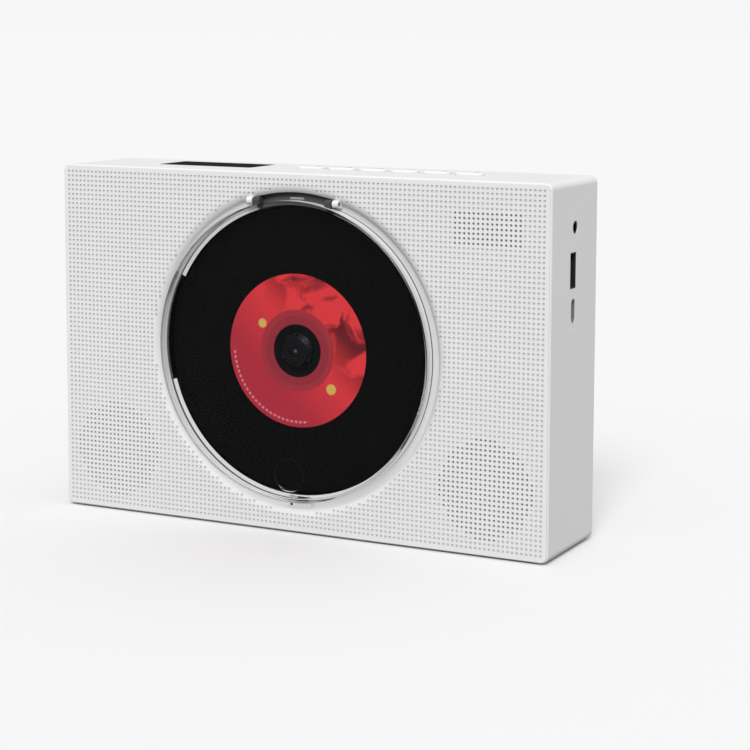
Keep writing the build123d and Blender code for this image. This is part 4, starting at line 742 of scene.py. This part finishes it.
def make_case():
    """The case without its front, and the flattened outline that the front leaves."""
    case = merged_copy("front_shell", "front_case")
    open_edit(case)
    choose_faces(case, on_front)
    bpy.ops.mesh.delete(type="FACE")
    close_edit()
    outline = case.copy()
    outline.data = case.data.copy()
    bpy.context.scene.collection.objects.link(outline)
    open_edit(outline, "EDGE")
    bpy.ops.mesh.select_non_manifold(extend=False, use_boundary=True)
    bpy.ops.mesh.select_all(action="INVERT")
    bpy.ops.mesh.delete(type="EDGE")
    choose_edges(outline, lambda a, b: in_hole_field((a + b) / 2, FIELD_MARGIN))
    bpy.ops.mesh.delete(type="VERT")
    bpy.ops.mesh.select_all(action="SELECT")
    bpy.ops.transform.resize(value=(1, 0, 1), center_override=at(0, 0, 0))
    close_edit()
    for face in case.data.polygons:
        if in_bay_wall(face.center / MM, face):
            face.material_index = 1
    # The flat walls lose the edges inside them, so that they shade flat up to their openings
    open_edit(case)
    choose_faces(case, in_flat_wall)
    bpy.ops.mesh.dissolve_limited(angle_limit=math.radians(0.05))
    close_edit()
    soften(case)
    return case, outline


def make_dotted_front(outline):
    """The front face with its square grid of small dots: shallow dimples, and deeper holes in the fields."""
    deselect_all()
    bpy.ops.mesh.primitive_grid_add(
        x_subdivisions=DOT_COLUMNS,
        y_subdivisions=DOT_ROWS,
        size=1.0,
        location=at(0, 0, BOTTOM + HEIGHT / 2),
        rotation=(math.pi / 2, 0, 0),
    )
    front = name_piece(bpy.context.object, "dotted_front")
    pitch = DOT_PITCH * MM
    front.scale = (DOT_COLUMNS * pitch, DOT_ROWS * pitch, 1)
    place_in_mesh(front)
    open_edit(front)
    choose_faces(front, reaches_bay)
    bpy.ops.mesh.delete(type="FACE")
    # A plain border fills the space between the grid and the edges of the case and the bay
    deselect_all()
    outline.select_set(True)
    front.select_set(True)
    bpy.context.view_layer.objects.active = front
    bpy.ops.object.join()
    open_edit(front, "EDGE")
    bpy.ops.mesh.select_non_manifold(extend=False, use_boundary=True, use_wire=True)
    bpy.ops.mesh.fill(use_beauty=False)
    # Every cell gets an eight-sided dot
    cell = pitch * pitch
    bpy.ops.mesh.select_mode(type="FACE")
    choose_faces(front, lambda place, face: len(face.vertices) == 4 and abs(face.area / cell - 1) < 0.01)
    bpy.ops.mesh.inset(thickness=(DOT_PITCH - DOT_WIDTH) / 2 * MM, use_individual=True)
    corner = DOT_WIDTH / (2 + math.sqrt(2)) * MM
    bpy.ops.mesh.bevel(offset=corner, offset_type="OFFSET", affect="VERTICES", clamp_overlap=False)
    # The short slanting edges that the bevel leaves shrink into the corners where four cells meet
    bpy.ops.mesh.select_mode(type="EDGE")
    bpy.ops.mesh.select_all(action="DESELECT")
    close_edit()
    meeting = [0] * len(front.data.vertices)
    for edge in front.data.edges:
        for end in edge.vertices:
            meeting[end] += 1
    for edge in front.data.edges:
        edge.select = sorted(meeting[end] for end in edge.vertices) == [3, 8]
    bpy.ops.object.mode_set(mode="EDIT")
    bpy.ops.mesh.merge(type="COLLAPSE")
    bpy.ops.mesh.select_mode(type="FACE")
    choose_faces(front, lambda place, face: len(face.vertices) == 8)
    bpy.ops.mesh.inset(thickness=DOT_DRAFT * MM, depth=-DOT_DEPTH * MM, use_individual=True)
    # In the fields the dots go on as holes
    choose_faces(front, lambda place, face: len(face.vertices) == 8 and in_hole_field(place))
    bpy.ops.mesh.inset(thickness=HOLE_DRAFT * MM, depth=-(HOLE_DEPTH - DOT_DEPTH) * MM, use_individual=True)
    close_edit()
    # The dots' walls and floors take painted shade: a darker grey in the dimples and a lighter one in the
    # holes
    for face in front.data.polygons:
        place = face.center / MM
        if place.y > FRONT + CLOSE:
            face.material_index = 2 if in_hole_field(place, DOT_MARGIN) else 1
    # The edge of the dish rolls back from the flat front
    open_edit(front)
    choose_faces(front, lambda place, face: len(face.vertices) == 3 and bay_distance(place) < BAY_SURROUND)
    bpy.ops.mesh.subdivide(number_cuts=2)
    close_edit()
    for vertex in front.data.vertices:
        vertex.co.y += dish_depth(bay_distance(vertex.co / MM)) * MM
    soften(front, angle=35.0)
    return front


# ---------------------------------------------------------------- clear cover
PLATE, EDGE, RIM, FOOT, EAR, DIMPLE = range(6)


def cover_zone(place, face):
    """Which finish a face of the cover takes."""
    radius, depth = bay_distance(place), place.y - FRONT
    off_dimple = math.hypot(place.x, place.z - BAY + DIMPLE_DROP)
    if DIMPLE_WALL[0] < off_dimple < DIMPLE_WALL[1] and abs(face.normal.y) < FACING:
        return DIMPLE
    by_ear = abs(abs(place.x) - EAR_MIDDLE) < EAR_WIDTH / 2 + CLOSE and place.z > HINGE_HEIGHT - EAR_DROP
    off_wall = abs(radius - COVER_RADIUS) > CLOSE and radius > COVER_INSIDE + CLOSE
    if depth > COVER_BASE + CLOSE or (by_ear and off_wall):
        return EAR
    # The outer wall takes the rim's milky painted sheen, and deeper down the foot's painted shadow; the
    # front ring with its rounded edge takes the edge's painted shade
    if depth > COVER_FRONT + COVER_EDGE and radius > COVER_RADIUS - NEAR:
        return FOOT if depth > COVER_FOOT else RIM
    if depth < COVER_FRONT + COVER_EDGE and radius > COVER_INSIDE + CLOSE:
        return EDGE
    return PLATE


def make_cover():
    """The clear cover: a shallow cup with a rounded rim, a finger dimple, two hinge ears and a hook."""
    floor = COVER_FRONT + COVER_WALL
    fillet = (COVER_INSIDE - COVER_FILLET, floor + COVER_FILLET)
    edge = (COVER_RADIUS - COVER_EDGE, COVER_FRONT + COVER_EDGE)
    chamfer = COVER_BASE - COVER_CHAMFER
    profile = quarter_round(fillet, COVER_FILLET, -90, 0, 4)
    profile += [(COVER_INSIDE, COVER_FOOT), (COVER_INSIDE, chamfer)]
    profile += [(COVER_INSIDE + COVER_CHAMFER, COVER_BASE), (COVER_RADIUS - COVER_CHAMFER, COVER_BASE)]
    profile += [(COVER_RADIUS, chamfer), (COVER_RADIUS, COVER_FOOT)]
    profile += quarter_round(edge, COVER_EDGE, 0, -90, 8)
    profile.append((COVER_INSIDE, COVER_FRONT))
    cover = turned_piece("clear_door", profile, COVER_SIDES)
    steps = [(radius, COVER_FRONT + depth) for radius, depth in DIMPLE_STEPS]
    dimple = turned_piece("dimple", steps, DIMPLE_SIDES, BAY - DIMPLE_DROP)
    cut_or_join(cover, dimple, "DIFFERENCE")
    # The ears stand on the middle of the cup's wall
    wall_middle = COVER_RADIUS - COVER_WALL / 2
    ear_root = BAY + math.sqrt(wall_middle**2 - EAR_MIDDLE**2)
    for side in (-1, 1):
        axis = at(side * EAR_MIDDLE, HINGE_DEPTH, HINGE_HEIGHT)
        ear = round_bar("ear", EAR_RADIUS, EAR_WIDTH, axis)
        web = block(
            "web",
            at(side * EAR_MIDDLE - EAR_WIDTH / 2, HINGE_DEPTH - EAR_RADIUS, ear_root),
            at(side * EAR_MIDDLE + EAR_WIDTH / 2, COVER_BASE, HINGE_HEIGHT),
        )
        cut_or_join(ear, web, "UNION")
        cut_or_join(cover, ear, "UNION")
        pin = round_bar("pin", PIN_RADIUS, 2 * EAR_WIDTH, axis)
        cut_or_join(cover, pin, "DIFFERENCE")
    x, z, width, thickness, length = HOOK
    hook = block(
        "hook",
        at(x - width / 2, COVER_BASE - HOOK_ROOT, z - thickness / 2),
        at(x + width / 2, COVER_BASE + length, z + thickness / 2),
        HOOK_BEVEL,
    )
    cut_or_join(cover, hook, "UNION")
    soften(cover)
    for face in cover.data.polygons:
        face.material_index = cover_zone(face.center / MM, face)
    return cover


# ---------------------------------------------------------------- disc
def make_disc():
    """A printed disc: black print, a red label with a deeper ring, and a dark centre."""
    rim = DISC_RADIUS - DISC_CHAMFER
    profile = [(DISC_BORE, DISC_BACK), (CLAMP_RADIUS, DISC_BACK), (rim, DISC_BACK)]
    profile += [(DISC_RADIUS, DISC_BACK - DISC_CHAMFER), (DISC_RADIUS, DISC_FRONT + DISC_CHAMFER)]
    rings = (rim, DISC_PRINT, LABEL_RADIUS, LABEL_RING, CENTRE_RING, DISC_BORE)
    profile += [(radius, DISC_FRONT) for radius in rings]
    disc = turned_piece("printed_disc", profile, DISC_SIDES)
    # Its two end faces go, and a wall joins the edges that they leave, as its bore
    open_edit(disc)
    choose_faces(disc, lambda place, face: len(face.vertices) == DISC_SIDES)
    bpy.ops.mesh.delete(type="ONLY_FACE")
    bpy.ops.mesh.select_mode(type="EDGE")
    choose_edges(disc, lambda a, b: max(bay_distance(a), bay_distance(b)) < DISC_BORE + CLOSE)
    bpy.ops.mesh.bridge_edge_loops()
    bpy.ops.mesh.select_all(action="SELECT")
    bpy.ops.mesh.normals_make_consistent(inside=False)
    close_edit()
    for face in disc.data.polygons:
        if face.normal.y < -FACING:
            radius = bay_distance(face.center / MM)
            face.material_index = sum(radius < ring for ring in (LABEL_RADIUS, LABEL_RING, CENTRE_RING))
    soften(disc)
    return disc


# ---------------------------------------------------------------- room
def make_camera():
    """The camera, turned left and down by its angles and then rolled."""
    yaw, pitch, roll = (math.radians(angle) for angle in (CAMERA_YAW, CAMERA_PITCH, CAMERA_ROLL))
    forward = Vector((-math.sin(yaw) * math.cos(pitch), math.cos(yaw) * math.cos(pitch), -math.sin(pitch)))
    right = Vector((math.cos(yaw), math.sin(yaw), 0))
    turn = Matrix((right, right.cross(forward), -forward)).transposed() @ Matrix.Rotation(roll, 3, "Z")
    camera = bpy.data.objects.new("camera", bpy.data.cameras.new("camera"))
    bpy.context.scene.collection.objects.link(camera)
    camera.matrix_world = Matrix.Translation(Vector(CAMERA_PLACE) * MM) @ turn.to_4x4()
    camera.data.lens = CAMERA_LENS
    camera.data.sensor_width = CAMERA_SENSOR
    camera.data.shift_y = CAMERA_SHIFT
    camera.data.clip_start = CAMERA_NEAR * MM
    bpy.context.scene.camera = camera


def make_room():
    """An even pale room, a pale floor, and a broad sun from the front and above, a little to the right."""
    world = bpy.data.worlds.new("soft_room")
    world.use_nodes = True
    bpy.context.scene.world = world
    nodes, links = world.node_tree.nodes, world.node_tree.links
    nodes["Background"].inputs["Color"].default_value = (*grey(1), 1)
    path = nodes.new("ShaderNodeLightPath")
    level = add_range(nodes, links, path.outputs["Is Camera Ray"], 0.0, 1.0, ROOM_LEVEL, BACKDROP_LEVEL)
    links.new(level, nodes["Background"].inputs["Strength"])

    deselect_all()
    bpy.ops.mesh.primitive_plane_add(size=FLOOR_SIZE * MM, location=(0, 0, 0))
    floor = name_piece(bpy.context.object, "floor")
    material, nodes, links, shader, _ = new_material("pale_floor")
    path = nodes.new("ShaderNodeLightPath")
    colour = add_mix(nodes, links, path.outputs["Is Camera Ray"], grey(FLOOR_COLOUR), grey(FLOOR_SEEN))
    links.new(colour, shader.inputs["Base Color"])
    set_gloss(shader, 0.9, 0.0)
    floor.data.materials.append(material)

    towards = Vector(SUN)
    sun = bpy.data.objects.new("sun", bpy.data.lights.new("sun", "SUN"))
    bpy.context.scene.collection.objects.link(sun)
    sun.data.angle = math.radians(SUN_ANGLE)
    sun.data.energy = math.pi * towards.length
    sun.rotation_euler = towards.to_track_quat("Z", "Y").to_euler()


# ---------------------------------------------------------------- assembly
NODE_FINISH = {
    "white": ["rear_cover"],
    "key": ["key_power", "key_mode", "key_previous", "key_play", "key_next", "key_repeat"],
    "window": ["display_lens"],
    "hinge": ["hinge_well"],
    "hub": ["spindle_hub", "hub_balls"],
    "black_gloss": ["disc_deck", "headphone_jack"],
    "black": [
        "lid_switch",
        "mech_chassis",
        "lens_unit",
        "display_module",
        "board_parts",
        "sensor_frame",
        "usb_a_socket",
    ],
    "rubber": ["rubber_feet", "rubber_dampers"],
    "foam": ["speaker_gaskets", "battery_pad"],
    "paper": ["speaker_cone_left", "speaker_cone_right"],
    "acetal": ["sled_rack", "sled_gear", "motor_pinion", "charge_lamp"],
    "casting": ["pickup_sled"],
    "cell": ["battery"],
    "board": ["key_board", "main_board", "sensor_board"],
    "bright": ["guide_rods", "gear_stud", "sled_motor_shaft"],
    "port": ["usb_c_socket"],
    "steel": ["spindle_motor", "shoulder_screws", "sled_motor", "speaker_magnets", "key_switches"],
    "dark_steel": [
        "cover_screws",
        "deck_screws",
        "speaker_frame_left",
        "speaker_frame_right",
        "key_board_screws",
        "board_screws",
        "hinge_pins",
        "spindle_shaft",
    ],
}

bpy.ops.object.select_all(action="SELECT")
bpy.ops.object.delete()
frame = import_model()
deselect_all()
finish = make_materials()
for name, members in NODE_FINISH.items():
    for node in members:
        dress(frame["nodes"][node], name)

case, outline = make_case()
dress(case, "white", "black_gloss")
finish_piece(case, "player", "shell_white", "front_shell")
front = make_dotted_front(outline)
dress(front, "white", "dimple", "hole_shadow")
finish_piece(front, "player", "grille_white", "speaker_grille_left", "speaker_grille_right", "sensor_grille")
disc = make_disc()
dress(disc, "disc_black", "label", "label_ring", "disc_centre")
finish_piece(disc, "spindle", "disc_print", "disc")
cover = make_cover()
dress(cover, "clear", "cover_edge_painted_shade", "cover_rim_painted_sheen", "cover_foot_painted_shadow", "ear", "clear_dimple")
finish_piece(cover, "cover", "clear_plastic", "clear_cover")

make_camera()
make_room()
bpy.context.scene.view_settings.view_transform = "Standard"
